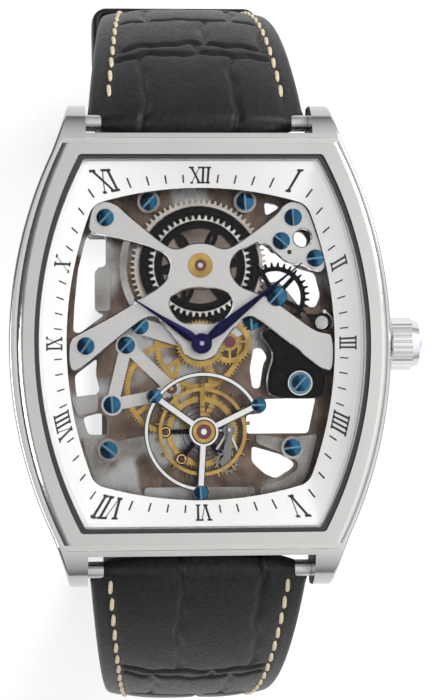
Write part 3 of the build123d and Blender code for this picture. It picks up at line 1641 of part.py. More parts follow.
def carriage_bridge():
    face = Circle(carriage_hub_radius)
    for angle in carriage_arm_angles:
        face += spoke(carriage_pillar_place, carriage_arm_width, angle)
        face += Pos(*polar(carriage_pillar_place, angle)) * Circle(carriage_pillar_radius)
    body = prism(face, carriage_high, carriage_high + carriage_plate)
    body += disc(centre_arbor_radius, carriage_high + carriage_plate, fixed_bridge_top - free_gap)
    body -= disc(jewel_hole + running_gap, carriage_high - overrun, carriage_high + carriage_plate / 2)
    end = abs(spiral_end(hairspring_start, hairspring_pitch, hairspring_half_turns))
    place = polar(end + hairspring_strip + stud_radius, carriage_arm_angles[1])
    body += disc(stud_radius, hairspring_z - hairspring_height / 2, carriage_high, *place)
    return at_tourbillon(one_solid(body))


def escape_wheel():
    step = 360 / escape_teeth
    points = []
    for tooth in range(escape_teeth):
        for radius_share, step_share in escape_tooth_shares:
            points.append(polar(escape_radius * radius_share, step * (tooth + step_share)))
    rim = Polygon(*points) - Circle(escape_radius - escape_rim)
    rim += spoke_faces(escape_spokes, escape_radius - escape_rim / 2, lever_width) + Circle(2 * jewel_hole)
    body = prism(rim, escape_z, escape_z + lever_thickness)
    leaves = gear_face(escape_leaves, escape_module, escape_leaf_phase)
    body += prism(leaves, fixed_wheel_z, fixed_wheel_z + 2 * wheel_thickness)
    body += disc(jewel_hole, fixed_wheel_z, pallet_bridge_low + pallet_bridge_thickness)
    return at_tourbillon(Pos(*polar(escape_place, escape_angle), 0) * one_solid(body))


def pallet_fork():
    pivot = polar(pallet_place, pallet_angle)
    wheel = polar(escape_place, escape_angle)
    stones = []
    turn = direction(pivot[0] - wheel[0], pivot[1] - wheel[1])
    for side in (-stone_angle, stone_angle):
        along = polar(escape_radius + stone_gap, turn + side)
        stones.append((wheel[0] + along[0], wheel[1] + along[1]))
    inner = polar(roller_radius + free_gap, pallet_angle)
    face = Pos(*pivot) * Circle(2 * jewel_hole)
    for stone in stones:
        face += arm_between(pivot, stone, lever_width)
    face += arm_between(pivot, inner, lever_width)
    body = prism(face, escape_z, escape_z + lever_thickness)
    low = carriage_low + carriage_plate / 4
    body += disc(jewel_hole, low, pallet_bridge_low + pallet_bridge_thickness, *pivot)
    return at_tourbillon(one_solid(body))


def pallet_bridge():
    pivot = polar(pallet_place, pallet_angle)
    wheel = polar(escape_place, escape_angle)
    foot = polar(pallet_place, pallet_angle + carriage_arm_angles[0])
    face = arm_between(pivot, wheel, pallet_bridge_width) + arm_between(pivot, foot, carriage_arm_width)
    for x, y in (pivot, wheel):
        face += Pos(x, y) * Circle(carriage_eye_radius)
    face += Pos(*foot) * Circle(carriage_arm_width / 2)
    body = prism(face, pallet_bridge_low, pallet_bridge_low + pallet_bridge_thickness)
    body += disc(carriage_arm_width / 2, carriage_low + carriage_plate, pallet_bridge_low, *foot)
    for x, y in (pivot, wheel):
        body -= disc(jewel_hole + running_gap, pallet_bridge_low - overrun, pallet_bridge_low + overrun, x, y)
    return at_tourbillon(one_solid(body))


def balance_wheel():
    face = Circle(balance_outer) - Circle(balance_inner)
    face += Rectangle(balance_arm_width, balance_inner + balance_outer)
    face += Circle(wheel_hub_radius)
    face -= Circle(staff_radius + seat_gap)
    body = prism(face, balance_low, balance_low + balance_thickness)
    middle = balance_low + balance_thickness / 2
    rim_middle = (balance_inner + balance_outer) / 2
    for index in range(balance_screws):
        stub = Pos(rim_middle, 0, middle) * Rot(0, 90, 0) * extrude(
            Circle(balance_screw_radius), amount=balance_outer - rim_middle + balance_screw_length, dir=UP
        )
        body += Rot(0, 0, 360 / balance_screws * (index + 0.5)) * stub
    return at_tourbillon(one_solid(body))


def balance_staff():
    low = carriage_low + carriage_plate / 2 + seat_gap
    body = disc(jewel_hole, low, roller_z)
    body += disc(roller_radius, roller_z, roller_z + roller_thickness)
    body += disc(staff_radius, roller_z, hairspring_z + hairspring_height)
    body += disc(jewel_hole, hairspring_z, carriage_high + carriage_plate / 2 - seat_gap)
    collet = hairspring_start - hairspring_strip
    body += disc(collet, hairspring_z - hairspring_height, hairspring_z + hairspring_height)
    return at_tourbillon(one_solid(body))


def hairspring():
    body = spiral(
        hairspring_start, hairspring_pitch, hairspring_half_turns, hairspring_strip, hairspring_height
    )
    turn = carriage_arm_angles[1] - 180
    return at_tourbillon(Rot(0, 0, turn) * Pos(hairspring_start, 0, hairspring_z) * body)


# The fixed bridge over the tourbillon: slim arms to three feet, joined by arcs of a ring
def arc_band(radius, width, start, end):
    ring = Circle(radius + width / 2) - Circle(radius - width / 2)
    reach = 2 * radius
    points = [(0, 0)]
    steps = max(math.ceil((end - start) / 45), 1)
    for step in range(steps + 1):
        points.append(polar(reach, start + (end - start) * step / steps))
    return ring & Polygon(*points)


def tourbillon_bridge():
    face = Circle(fixed_ring_outer)
    for angle in carriage_arm_angles:
        face += spoke(fixed_foot_place, fixed_arm_width, angle)
        face += Pos(*polar(fixed_foot_place, angle)) * Circle(fixed_foot_radius)
    face -= Circle(fixed_ring_inner)
    body = chamfer_top(prism(face, fixed_bridge_low, fixed_bridge_top), fixed_bevel)
    right, left, low = carriage_arm_angles
    for start, end in ((right, left), (left, low)):
        band = arc_band(fixed_arc_radius, fixed_arc_width, start, end)
        body += chamfer_top(prism(band, fixed_bridge_low, fixed_bridge_top), fixed_bevel)
    for angle in carriage_arm_angles:
        x, y = polar(fixed_foot_place, angle)
        hole = screw_thread_radius + seat_gap
        body -= disc(hole, fixed_bridge_low - overrun, fixed_bridge_top + overrun, x, y)
    return at_tourbillon(one_solid(body))


def tourbillon_posts():
    posts = []
    for index in range(len(carriage_arm_angles)):
        x, y = fixed_foot(index)
        low = train_top if index == 1 else main_top
        post = disc(fixed_post_radius, low, fixed_bridge_low, x, y)
        posts.append(post)
    return posts


def tourbillon_screws():
    screws = []
    for index in range(len(carriage_arm_angles)):
        x, y = fixed_foot(index)
        head = fixed_screw_head
        body = domed_head(head, fixed_bridge_top, fixed_bridge_top + screw_head_height)
        body += disc(screw_thread_radius, fixed_bridge_low, fixed_bridge_top)
        slot_box = Box(2 * (head + overrun), screw_slot_width, 2 * screw_slot_depth)
        top = fixed_bridge_top + screw_head_height
        body -= Pos(0, 0, top) * Rot(0, 0, screw_step_angle * index) * slot_box
        screws.append(Pos(x, y, 0) * one_solid(body))
    return screws


# Jewels are rings of ruby; settings are the gold rings round the larger ones
def jewels():
    stones = []
    hole = pivot_radius + running_gap
    stones.append(tube(jewel_radius, hole, bridge_top - jewel_height, bridge_top, 0, barrel_y))
    stones.append(tube(jewel_radius - seat_gap, jewel_hole, train_low, train_top, third_x, third_y))
    stones.append(disc(jewel_radius, minute_jewel_low, bridge_low - free_gap, minute_x, minute_y))
    setting = fixed_ring_inner - chaton_width
    hole = centre_arbor_radius + running_gap
    stones.append(at_tourbillon(tube(setting - seat_gap, hole, fixed_bridge_low, fixed_bridge_top)))
    return stones


def chatons():
    settings = []
    outer = jewel_radius + barrel_chaton_width
    low = bridge_top - jewel_height
    settings.append(tube(outer, jewel_radius + seat_gap, low, bridge_top + screw_edge, 0, barrel_y))
    setting = fixed_ring_inner - chaton_width
    outer = fixed_ring_inner - seat_gap
    settings.append(at_tourbillon(tube(outer, setting, fixed_bridge_low, fixed_bridge_top)))
    return settings


def write_case():
    write("case_middle", case_middle())
    write("bezel", bezel())
    write("crystal", crystal())
    write("crystal_gasket", crystal_gasket())
    write("chapter_ring", chapter_ring())
    write("case_back", case_back())
    write("case_back_glass", case_back_glass())
    write("case_back_gasket", back_gasket_solid(0))
    write("case_back_screws", *case_back_screws())
    write("pendant_tube", pendant_tube())
    write("crown", crown())
    write("crown_cabochon", crown_cabochon())
    write("crown_gasket", crown_gasket())
    write("winding_stem", winding_stem())


def write_strap():
    write("spring_bars", lug_bar(1), lug_bar(-1))
    write("strap_12", strap_12())
    write("strap_6", strap_6())
    write("fixed_keeper", keeper(fixed_keeper_place, fixed_keeper_gap))
    write("sliding_keeper", keeper(sliding_keeper_place, keeper_gap))
    write("buckle_frame", buckle_frame())
    write("buckle_bar", buckle_bar())
    write("buckle_tongue", buckle_tongue())


def write_movement():
    write("movement_holder", movement_holder())
    write("main_plate", main_plate())
    write("top_bridge", top_bridge())
    large = screw_group(bridge_screw_shares, bridge_top) + screw_group(low_screw_shares, low_boss_top)
    write("bridge_screws", *large, *tourbillon_screws())
    write("centre_bridge", centre_bridge())
    write("train_bridge", train_bridge())
    small = screw_group(centre_screw_shares, centre_bridge_top) + screw_group(train_screw_shares, train_top)
    small += screw_group((cover_screw_share,), cover_top)
    write("small_screws", *small, crown_wheel_screw(), click_screw(), cover_washer())
    write("keyless_cover", keyless_cover())
    write("barrel_drum", barrel_drum())
    write("barrel_cover", barrel_cover())
    write("barrel_arbor", barrel_arbor())
    write("mainspring", mainspring())
    write("ratchet_wheel", ratchet_wheel())
    write("crown_wheel", crown_wheel())
    write("transmission_wheel", transmission_wheel())
    write("winding_pinion", winding_pinion())
    write("click", click())
    write("click_spring", click_spring())
    write("centre_wheel", centre_wheel())
    write("cannon_pinion", cannon_pinion())
    write("minute_wheel", minute_wheel())
    write("hour_wheel", hour_wheel())
    write("third_wheel", third_wheel())
    write("hour_hand", hour_hand())
    write("minute_hand", minute_hand(), hand_cap())


def write_tourbillon():
    write("fixed_seconds_wheel", fixed_seconds_wheel())
    write("carriage", carriage())
    write("carriage_bridge", carriage_bridge())
    write("escape_wheel", escape_wheel())
    write("pallet_fork", pallet_fork())
    write("pallet_bridge", pallet_bridge())
    write("balance_wheel", balance_wheel())
    write("balance_staff", balance_staff())
    write("hairspring", hairspring())
    write("tourbillon_bridge", tourbillon_bridge())
    write("tourbillon_posts", *tourbillon_posts())
    write("jewels", *jewels())
    write("chatons", *chatons())


write_case()
write_strap()
write_movement()
write_tourbillon()
gap = spiral_least_gap(hairspring_start, hairspring_pitch, hairspring_half_turns, hairspring_strip)
print("hairspring turns", hairspring_half_turns / 2, "least gap", round(gap, 3), "mm")
print("strap radii", curl_radius, tuck_radius, "ground at", round(flat_z - strap_end_thickness / 2, 3))
print("modules", barrel_module, centre_module, third_module, cannon_module, hour_module, winding_module)
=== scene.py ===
import math

import bpy
import bmesh
import numpy as np
from mathutils import Matrix, Vector
from mathutils.bvhtree import BVHTree


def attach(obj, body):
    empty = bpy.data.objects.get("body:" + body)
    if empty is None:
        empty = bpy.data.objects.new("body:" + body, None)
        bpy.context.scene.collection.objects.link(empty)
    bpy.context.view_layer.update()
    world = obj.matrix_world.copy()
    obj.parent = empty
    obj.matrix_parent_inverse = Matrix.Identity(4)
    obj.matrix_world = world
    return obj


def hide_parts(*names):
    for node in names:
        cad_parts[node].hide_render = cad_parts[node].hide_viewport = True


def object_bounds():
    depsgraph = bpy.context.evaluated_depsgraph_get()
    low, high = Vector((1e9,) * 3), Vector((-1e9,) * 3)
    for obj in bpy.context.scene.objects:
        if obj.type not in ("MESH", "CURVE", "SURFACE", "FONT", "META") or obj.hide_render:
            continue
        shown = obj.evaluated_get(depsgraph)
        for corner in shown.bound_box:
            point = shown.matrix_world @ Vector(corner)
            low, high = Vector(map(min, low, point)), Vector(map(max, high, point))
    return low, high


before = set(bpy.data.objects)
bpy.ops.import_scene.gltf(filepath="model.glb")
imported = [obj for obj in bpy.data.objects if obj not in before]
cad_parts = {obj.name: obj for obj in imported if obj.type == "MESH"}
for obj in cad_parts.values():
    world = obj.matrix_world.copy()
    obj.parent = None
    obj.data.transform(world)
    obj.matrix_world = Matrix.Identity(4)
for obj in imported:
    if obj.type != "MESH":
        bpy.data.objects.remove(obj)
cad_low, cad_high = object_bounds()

MM = 0.001
scene = bpy.context.scene
scene.view_settings.view_transform = "Standard"


# Materials
def new_material(name):
    mat = bpy.data.materials.new(name)
    mat.use_nodes = True
    return mat, mat.node_tree.nodes, mat.node_tree.links, mat.node_tree.nodes["Principled BSDF"]


def noise_on(nodes, links, scale, stretch=(1, 1, 1), detail=3.0, rough=0.55, coords=None):
    if coords is None:
        coords = nodes.new("ShaderNodeTexCoord").outputs["Object"]
    mapping = nodes.new("ShaderNodeMapping")
    mapping.inputs["Scale"].default_value = stretch
    links.new(coords, mapping.inputs["Vector"])
    noise = nodes.new("ShaderNodeTexNoise")
    noise.inputs["Scale"].default_value = scale
    noise.inputs["Detail"].default_value = detail
    noise.inputs["Roughness"].default_value = rough
    links.new(mapping.outputs["Vector"], noise.inputs["Vector"])
    return noise.outputs["Fac"]


def ranged(nodes, links, value, low, high, from_low=0.3, from_high=0.7):
    node = nodes.new("ShaderNodeMapRange")
    node.inputs["From Min"].default_value = from_low
    node.inputs["From Max"].default_value = from_high
    node.inputs["To Min"].default_value = low
    node.inputs["To Max"].default_value = high
    links.new(value, node.inputs["Value"])
    return node.outputs["Result"]


def mixed(nodes, links, factor, one, two):
    node = nodes.new("ShaderNodeMix")
    node.data_type = "RGBA"
    links.new(factor, node.inputs["Factor"])
    for socket, value in ((node.inputs[6], one), (node.inputs[7], two)):
        if isinstance(value, tuple):
            socket.default_value = (*value, 1)
        else:
            links.new(value, socket)
    return node.outputs[2]


def tint(colour, by):
    return tuple(min(c * by, 1.0) for c in colour)


def varied(nodes, links, grain, colour, vary, dark=None):
    """A colour that runs from a darker to a lighter shade with the grain."""
    if dark is None:
        dark = tint(colour, 1 - vary)
    return mixed(nodes, links, ranged(nodes, links, grain, 0, 1), dark, tint(colour, 1 + vary))


def bump(nodes, links, height, strength, distance, before=None):
    node = nodes.new("ShaderNodeBump")
    node.inputs["Strength"].default_value = strength
    node.inputs["Distance"].default_value = distance
    links.new(height, node.inputs["Height"])
    if before is not None:
        links.new(before, node.inputs["Normal"])
    return node.outputs["Normal"]


def facing_up(nodes, links, low=0.93, high=0.985):
    """How far a face looks along the watch's own Z, so bevels and walls get another finish than the flats,
    and on the tourbillon bridge a painted shade.
    """
    geometry = nodes.new("ShaderNodeNewGeometry")
    split = nodes.new("ShaderNodeSeparateXYZ")
    links.new(geometry.outputs["True Normal"], split.inputs[0])
    size = nodes.new("ShaderNodeMath")
    size.operation = "ABSOLUTE"
    links.new(split.outputs["Z"], size.inputs[0])
    return ranged(nodes, links, size.outputs[0], 0.0, 1.0, low, high)


def height_above(nodes, links, height, soft=0.03):
    """1 where the point lies above a height in millimetres, in the watch's own frame."""
    split = nodes.new("ShaderNodeSeparateXYZ")
    links.new(nodes.new("ShaderNodeTexCoord").outputs["Object"], split.inputs[0])
    return ranged(nodes, links, split.outputs["Z"], 0.0, 1.0, (height - soft) * MM, (height + soft) * MM)


def outside(nodes, links, x, y, radius, soft=0.03):
    """1 where the point lies farther than a radius from an upright axis, all in millimetres."""
    mapping = nodes.new("ShaderNodeMapping")
    mapping.inputs["Location"].default_value = (-x * MM, -y * MM, 0)
    mapping.inputs["Scale"].default_value = (1, 1, 0)
    links.new(nodes.new("ShaderNodeTexCoord").outputs["Object"], mapping.inputs["Vector"])
    size = nodes.new("ShaderNodeVectorMath")
    size.operation = "LENGTH"
    links.new(mapping.outputs["Vector"], size.inputs[0])
    return ranged(nodes, links, size.outputs["Value"], 0.0, 1.0, (radius - soft) * MM, (radius + soft) * MM)


def inverted(nodes, links, value):
    node = nodes.new("ShaderNodeMath")
    node.operation = "SUBTRACT"
    node.inputs[0].default_value = 1.0
    links.new(value, node.inputs[1])
    return node.outputs[0]


def repainted(mat, mask, colour, vary=0.15, scale=700):
    """Gives the points under a mask another colour with its own variation."""
    nodes, links = mat.node_tree.nodes, mat.node_tree.links
    socket = nodes["Principled BSDF"].inputs["Base Color"]
    before = socket.links[0].from_socket
    grain = noise_on(nodes, links, scale)
    after = varied(nodes, links, grain, colour, vary)
    links.new(mixed(nodes, links, mask(nodes, links), before, after), socket)
    return mat


def tilted(nodes, links, x, y, soft=0.04):
    """1 where a face leans towards a direction in the watch's own frame, 0 where it leans away from it."""
    aim = nodes.new("ShaderNodeVectorMath")
    aim.operation = "DOT_PRODUCT"
    aim.inputs[1].default_value = (x, y, 0)
    links.new(nodes.new("ShaderNodeNewGeometry").outputs["Normal"], aim.inputs[0])
    return ranged(nodes, links, aim.outputs["Value"], 0.0, 1.0, -soft, soft)


def inside_ring(x, y, low, high):
    """A mask that is 1 between two radii about an upright axis, in millimetres."""
    def mask(nodes, links):
        beyond = outside(nodes, links, x, y, low)
        within = inverted(nodes, links, outside(nodes, links, x, y, high))
        return product(nodes, links, beyond, within)
    return mask


def patches(scale, low, high):
    """A mask of soft-edged patches."""
    def mask(nodes, links):
        return ranged(nodes, links, noise_on(nodes, links, scale, detail=1.5), 0, 1, low, high)
    return mask


def product(nodes, links, one, two):
    node = nodes.new("ShaderNodeMath")
    node.operation = "MULTIPLY"
    links.new(one, node.inputs[0])
    links.new(two, node.inputs[1])
    return node.outputs[0]


def metal(name, colour, rough, vary=0.06, spread=0.25, scale=900, stretch=(1, 1, 1), relief=0.0, metallic=1.0,
          coat=0.0, dark=None, flats=None):
    """A surface of uneven colour and roughness. flats=(colour, roughness) finishes the faces that look up."""
    mat, nodes, links, shader = new_material(name)
    grain = noise_on(nodes, links, scale, stretch)
    colour_out = varied(nodes, links, grain, colour, vary, dark)
    rough_out = ranged(nodes, links, grain, rough * (1 - spread), rough * (1 + spread))
    if flats is not None:
        up = facing_up(nodes, links)
        flat_colour, flat_rough = flats
        flat_out = varied(nodes, links, grain, flat_colour, vary)
        colour_out = mixed(nodes, links, up, colour_out, flat_out)
        grained = ranged(nodes, links, grain, flat_rough * (1 - spread), flat_rough * (1 + spread))
        mix = nodes.new("ShaderNodeMix")
        links.new(up, mix.inputs[0])
        links.new(rough_out, mix.inputs[2])
        links.new(grained, mix.inputs[3])
        rough_out = mix.outputs[0]
    links.new(colour_out, shader.inputs["Base Color"])
    links.new(rough_out, shader.inputs["Roughness"])
    shader.inputs["Metallic"].default_value = metallic
    shader.inputs["Coat Weight"].default_value = coat
    shader.inputs["Coat Roughness"].default_value = 0.05
    if relief:
        fine = noise_on(nodes, links, scale * 1.7, stretch, 2.0)
        links.new(bump(nodes, links, fine, 0.35, relief * MM), shader.inputs["Normal"])
    return mat


def glass(name):
    mat, nodes, links, shader = new_material(name)
    nodes.remove(shader)
    clear = nodes.new("ShaderNodeBsdfTransparent")
    gloss = nodes.new("ShaderNodeBsdfGlossy")
    smudge = noise_on(nodes, links, 120)
    links.new(ranged(nodes, links, smudge, 0.015, 0.07), gloss.inputs["Roughness"])
    fresnel = nodes.new("ShaderNodeFresnel")
    fresnel.inputs["IOR"].default_value = 1.14
    mix = nodes.new("ShaderNodeMixShader")
    links.new(fresnel.outputs[0], mix.inputs[0])
    links.new(clear.outputs[0], mix.inputs[1])
    links.new(gloss.outputs[0], mix.inputs[2])
    links.new(mix.outputs[0], nodes["Material Output"].inputs["Surface"])
    return mat


def leather(name, colour, rough, cell, depth, gloss=0.35, wrinkle=0.25):
    mat, nodes, links, shader = new_material(name)
    coords = nodes.new("ShaderNodeTexCoord").outputs["Object"]
    cells = nodes.new("ShaderNodeTexVoronoi")
    cells.feature = "DISTANCE_TO_EDGE"
    cells.inputs["Scale"].default_value = cell
    links.new(coords, cells.inputs["Vector"])
    pores = noise_on(nodes, links, cell * 3.1, (1, 1, 1), 4.0, 0.6, coords)
    clouds = noise_on(nodes, links, cell * 0.16, (1, 1, 1), 3.0, 0.5, coords)
    tone = mixed(nodes, links, ranged(nodes, links, clouds, 0, 1), tint(colour, 0.72), tint(colour, 1.35))
    edge = ranged(nodes, links, cells.outputs["Distance"], 0, 1, 0.0, 0.12)
    links.new(mixed(nodes, links, edge, tint(colour, 0.6), tone), shader.inputs["Base Color"])
    links.new(ranged(nodes, links, pores, rough * 0.8, rough * 1.25), shader.inputs["Roughness"])
    shader.inputs["Specular IOR Level"].default_value = gloss
    normal = bump(nodes, links, edge, wrinkle, depth * MM)
    normal = bump(nodes, links, pores, 0.3, depth * 0.6 * MM, normal)
    links.new(normal, shader.inputs["Normal"])
    return mat


# Places that the masks go by, in millimetres
BARREL_AXIS = (0, 8.3)
CLICK_SCREW = (12.95, 2.24)
COVER_SCREW = (10.58, -4.18)
TOURBILLON = (0.23, -9.26)


def low_plate(nodes, links):
    """Patches on the plate's deep floor."""
    floor = inverted(nodes, links, height_above(nodes, links, 3.75))
    return product(nodes, links, floor, patches(190, 0.41, 0.49)(nodes, links))


def barrel_middle(nodes, links):
    return inverted(nodes, links, outside(nodes, links, *BARREL_AXIS, 4.7))


# Painted highlight: the half of each blued screw head that leans towards +X, the lamp side, gets a lighter
# blue that stands in for the reflection of the bright side of the studio.
def screw_painted_lit_side(nodes, links):
    return tilted(nodes, links, 0.94, 0.34, 0.025)


# Painted highlight: the flat floors of the screw slots get a light blue that stands in for light glinting in
# the slots.
def slot_floor_painted_highlight(nodes, links):
    return facing_up(nodes, links, 0.99992, 0.99998)


STEEL = metal("polished_steel_look", (0.66, 0.66, 0.655), 0.14, 0.03, 0.3, 260, relief=0.004)
CASE = metal("case_steel_look", (0.50, 0.50, 0.487), 0.13, 0.03, 0.35, 160, (1, 1, 3), relief=0.003)
PLAIN = metal("plain_steel_look", (0.50, 0.50, 0.51), 0.28, 0.08, 0.3, 700)
DARK = metal("dark_polish_look", (0.62, 0.62, 0.62), 0.15, 0.1, 0.3, 800, flats=((0.17, 0.165, 0.16), 0.18))
SATIN = metal("satin_bridge_look", (0.90, 0.90, 0.90), 0.12, 0.03, 0.25, 1500, (0.35, 3.0, 1), relief=0.003,
              flats=((0.46, 0.455, 0.445), 0.36))
# Painted shade: the tourbillon bridge's walls and bevels get a near-black colour for the dark outlines round
# it; its flats keep a steel colour.
ARM = metal("tourbillon_bridge_look", (0.05, 0.05, 0.052), 0.10, 0.05, 0.25, 800,
            flats=((0.62, 0.62, 0.62), 0.12))
PLATE = metal("plate_look", (0.55, 0.53, 0.51), 0.24, 0.06, 0.3, 900, (2.0, 0.6, 1), relief=0.002,
              flats=((0.35, 0.35, 0.345), 0.30))
repainted(PLATE, patches(150, 0.44, 0.60), (0.20, 0.185, 0.17), 0.3, 420)
repainted(PLATE, low_plate, (0.12, 0.088, 0.070), 0.6, 300)
HOLDER = metal("holder_look", (0.26, 0.235, 0.22), 0.25, 0.35, 0.3, 300)
COVER = metal("keyless_cover_look", (0.85, 0.85, 0.86), 0.14, 0.05, 0.3, 900,
              flats=((0.006, 0.006, 0.0065), 0.15))
repainted(COVER, inside_ring(*COVER_SCREW, 0.9, 1.3), (0.62, 0.62, 0.62), 0.06)
BLACK = metal("black_polish_look", (0.30, 0.30, 0.31), 0.18, 0.1, 0.3, 800,
              flats=((0.008, 0.008, 0.009), 0.16))
RATCHET = metal("ratchet_look", (0.42, 0.42, 0.42), 0.18, 0.1, 0.3, 800, flats=((0.008, 0.008, 0.009), 0.16))
# Painted highlight: the teeth beyond 4.86 mm from the barrel axis get a bright steel colour that stands in
# for the glints on their tips.
repainted(RATCHET, lambda nodes, links: outside(nodes, links, *BARREL_AXIS, 4.86), (0.55, 0.53, 0.49), 0.2)
BARREL = metal("barrel_cover_look", (0.80, 0.80, 0.79), 0.14, 0.08, 0.3, 600,
               flats=((0.009, 0.009, 0.010), 0.14))
repainted(BARREL, barrel_middle, (0.15, 0.125, 0.11), 0.6, 320)
DRUM = metal("barrel_drum_look", (0.22, 0.20, 0.18), 0.24, 0.2, 0.3, 900, flats=((0.42, 0.38, 0.34), 0.26))
GOLD = metal("gilt_look", (0.16, 0.085, 0.022), 0.20, 0.3, 0.3, 700, relief=0.002,
             flats=((0.36, 0.235, 0.075), 0.20))
GILT = metal("gilt_setting_look", (0.62, 0.46, 0.20), 0.18, 0.1, 0.3, 1300)
BLUED = metal("blued_screw_look", (0.004, 0.020, 0.045), 0.12, 0.2, 0.3, 900, dark=(0.002, 0.010, 0.026))
# Painted highlight: a lighter blue on the half of the screw heads that leans to +X.
repainted(BLUED, screw_painted_lit_side, (0.017, 0.080, 0.145), 0.25)
# Painted highlight: a light blue on the slot floors.
repainted(BLUED, slot_floor_painted_highlight, (0.10, 0.20, 0.27), 0.2)
repainted(BLUED, inside_ring(*CLICK_SCREW, -1.0, 0.9), (0.34, 0.34, 0.335), 0.1)
HANDS = metal("blued_hand_look", (0.005, 0.006, 0.030), 0.18, 0.2, 0.25, 500, dark=(0.003, 0.0035, 0.016))
# Painted highlight: the faces of the hands that lean towards (0.5, 0.86) get a lighter blue, standing in for
# light caught on that side.
repainted(HANDS, lambda nodes, links: tilted(nodes, links, 0.5, 0.86), (0.011, 0.010, 0.058), 0.2)
repainted(HANDS, inside_ring(0, 0, -1.0, 0.24), (0.30, 0.32, 0.55), 0.1)
RUBY = metal("ruby_look", (0.085, 0.003, 0.014), 0.1, 0.3, 0.2, 1500, metallic=0.0, coat=0.25)
DIAL = metal("silver_dial_look", (0.80, 0.80, 0.785), 0.42, 0.02, 0.15, 3500, relief=0.002, metallic=0.0)
RUBBER = metal("rubber_look", (0.015, 0.015, 0.016), 0.5, 0.2, 0.2, 2000, metallic=0.0)
STONE = metal("blue_stone_look", (0.22, 0.38, 0.62), 0.08, 0.15, 0.2, 900, metallic=0.0, coat=0.6)
INK = metal("ink_look", (0.012, 0.012, 0.015), 0.4, 0.2, 0.2, 4000, metallic=0.0)
THREAD = metal("thread_look", (0.60, 0.51, 0.36), 0.8, 0.2, 0.1, 5000, metallic=0.0, relief=0.05)
GLASS = glass("clear_glass_look")
LEATHER = leather("alligator_look", (0.011, 0.011, 0.0115), 0.42, 900, 0.05, 0.22)
LINING = leather("lining_look", (0.030, 0.026, 0.023), 0.6, 1800, 0.02)
EDGE = metal("edge_paint_look", (0.012, 0.012, 0.0125), 0.35, 0.15, 0.2, 1500, metallic=0.0)

LOOKS = {
    CASE: ("case_middle", "bezel"),
    STEEL: ("case_back", "crown", "buckle_frame", "buckle_tongue", "pendant_tube", "carriage_bridge"),
    ARM: ("tourbillon_bridge",),
    DARK: ("pallet_bridge", "escape_wheel"),
    PLAIN: (
        "winding_stem", "spring_bars", "buckle_bar", "winding_pinion", "barrel_arbor", "click_spring",
        "tourbillon_posts", "balance_staff", "pallet_fork", "mainspring", "case_back_screws", "cannon_pinion",
    ),
    SATIN: ("top_bridge", "train_bridge", "centre_bridge"),
    PLATE: ("main_plate",),
    HOLDER: ("movement_holder",),
    DIAL: ("chapter_ring",),
    COVER: ("keyless_cover",),
    BLACK: ("crown_wheel", "carriage", "transmission_wheel", "click"),
    RATCHET: ("ratchet_wheel",),
    BARREL: ("barrel_cover",),
    DRUM: ("barrel_drum",),
    GOLD: (
        "centre_wheel", "third_wheel", "minute_wheel", "hour_wheel", "fixed_seconds_wheel", "balance_wheel",
        "chatons",
    ),
    BLUED: ("bridge_screws", "small_screws"),
    HANDS: ("hour_hand", "minute_hand", "hairspring"),
    RUBY: ("jewels",),
    GLASS: ("crystal", "case_back_glass"),
    RUBBER: ("crystal_gasket", "case_back_gasket", "crown_gasket"),
    STONE: ("crown_cabochon",),
    LEATHER: ("strap_12", "strap_6", "fixed_keeper", "sliding_keeper"),
}
for look, names in LOOKS.items():
    for name in names:
        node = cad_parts[name]
        node.data.materials.clear()
        node.data.materials.append(look)


# Mesh helpers
def mesh_object(name, points, faces, materials, smooth=True, kinds=None):
    mesh = bpy.data.meshes.new(name)
    mesh.from_pydata([tuple(float(c) for c in p) for p in points], [], faces)
    for mat in materials:
        mesh.materials.append(mat)
    if kinds is not None:
        mesh.polygons.foreach_set("material_index", kinds)
    mesh.polygons.foreach_set("use_smooth", [smooth] * len(mesh.polygons))
    mesh.update()
    piece = bpy.data.objects.new(name, mesh)
    scene.collection.objects.link(piece)
    return piece


def welded(piece, gap=0.00001):
    shape = bmesh.new()
    shape.from_mesh(piece.data)
    bmesh.ops.remove_doubles(shape, verts=shape.verts, dist=gap)
    bmesh.ops.dissolve_degenerate(shape, dist=gap / 10, edges=shape.edges)
    bmesh.ops.recalc_face_normals(shape, faces=shape.faces)
    shape.to_mesh(piece.data)
    shape.free()


def tree_of(piece):
    """A search tree over the faces of a piece."""
    mesh = piece.data
    return BVHTree.FromPolygons([v.co for v in mesh.vertices], [tuple(p.vertices) for p in mesh.polygons])


# Numerals and minute marks on the chapter ring
def arc_points(first, middle, last, count=40):
    """Points on the circle through three points, from the first towards the last."""
    ax, ay = first
    bx, by = middle
    cx, cy = last
    d = 2 * (ax * (by - cy) + bx * (cy - ay) + cx * (ay - by))
    ux = ((ax**2 + ay**2) * (by - cy) + (bx**2 + by**2) * (cy - ay) + (cx**2 + cy**2) * (ay - by)) / d
    uy = ((ax**2 + ay**2) * (cx - bx) + (bx**2 + by**2) * (ax - cx) + (cx**2 + cy**2) * (bx - ax)) / d
    radius = math.hypot(ax - ux, ay - uy)
    start, end = math.atan2(ay - uy, ax - ux), math.atan2(cy - uy, cx - ux)
    mid = math.atan2(by - uy, bx - ux)
    turn = (end - start + math.pi) % (2 * math.pi) - math.pi
    if abs(((mid - start + math.pi) % (2 * math.pi) - math.pi)) > abs(turn):
        turn = turn - math.copysign(2 * math.pi, turn)
    angles = [start + turn * i / count for i in range(count)]
    return [(ux + radius * math.cos(angle), uy + radius * math.sin(angle)) for angle in angles]


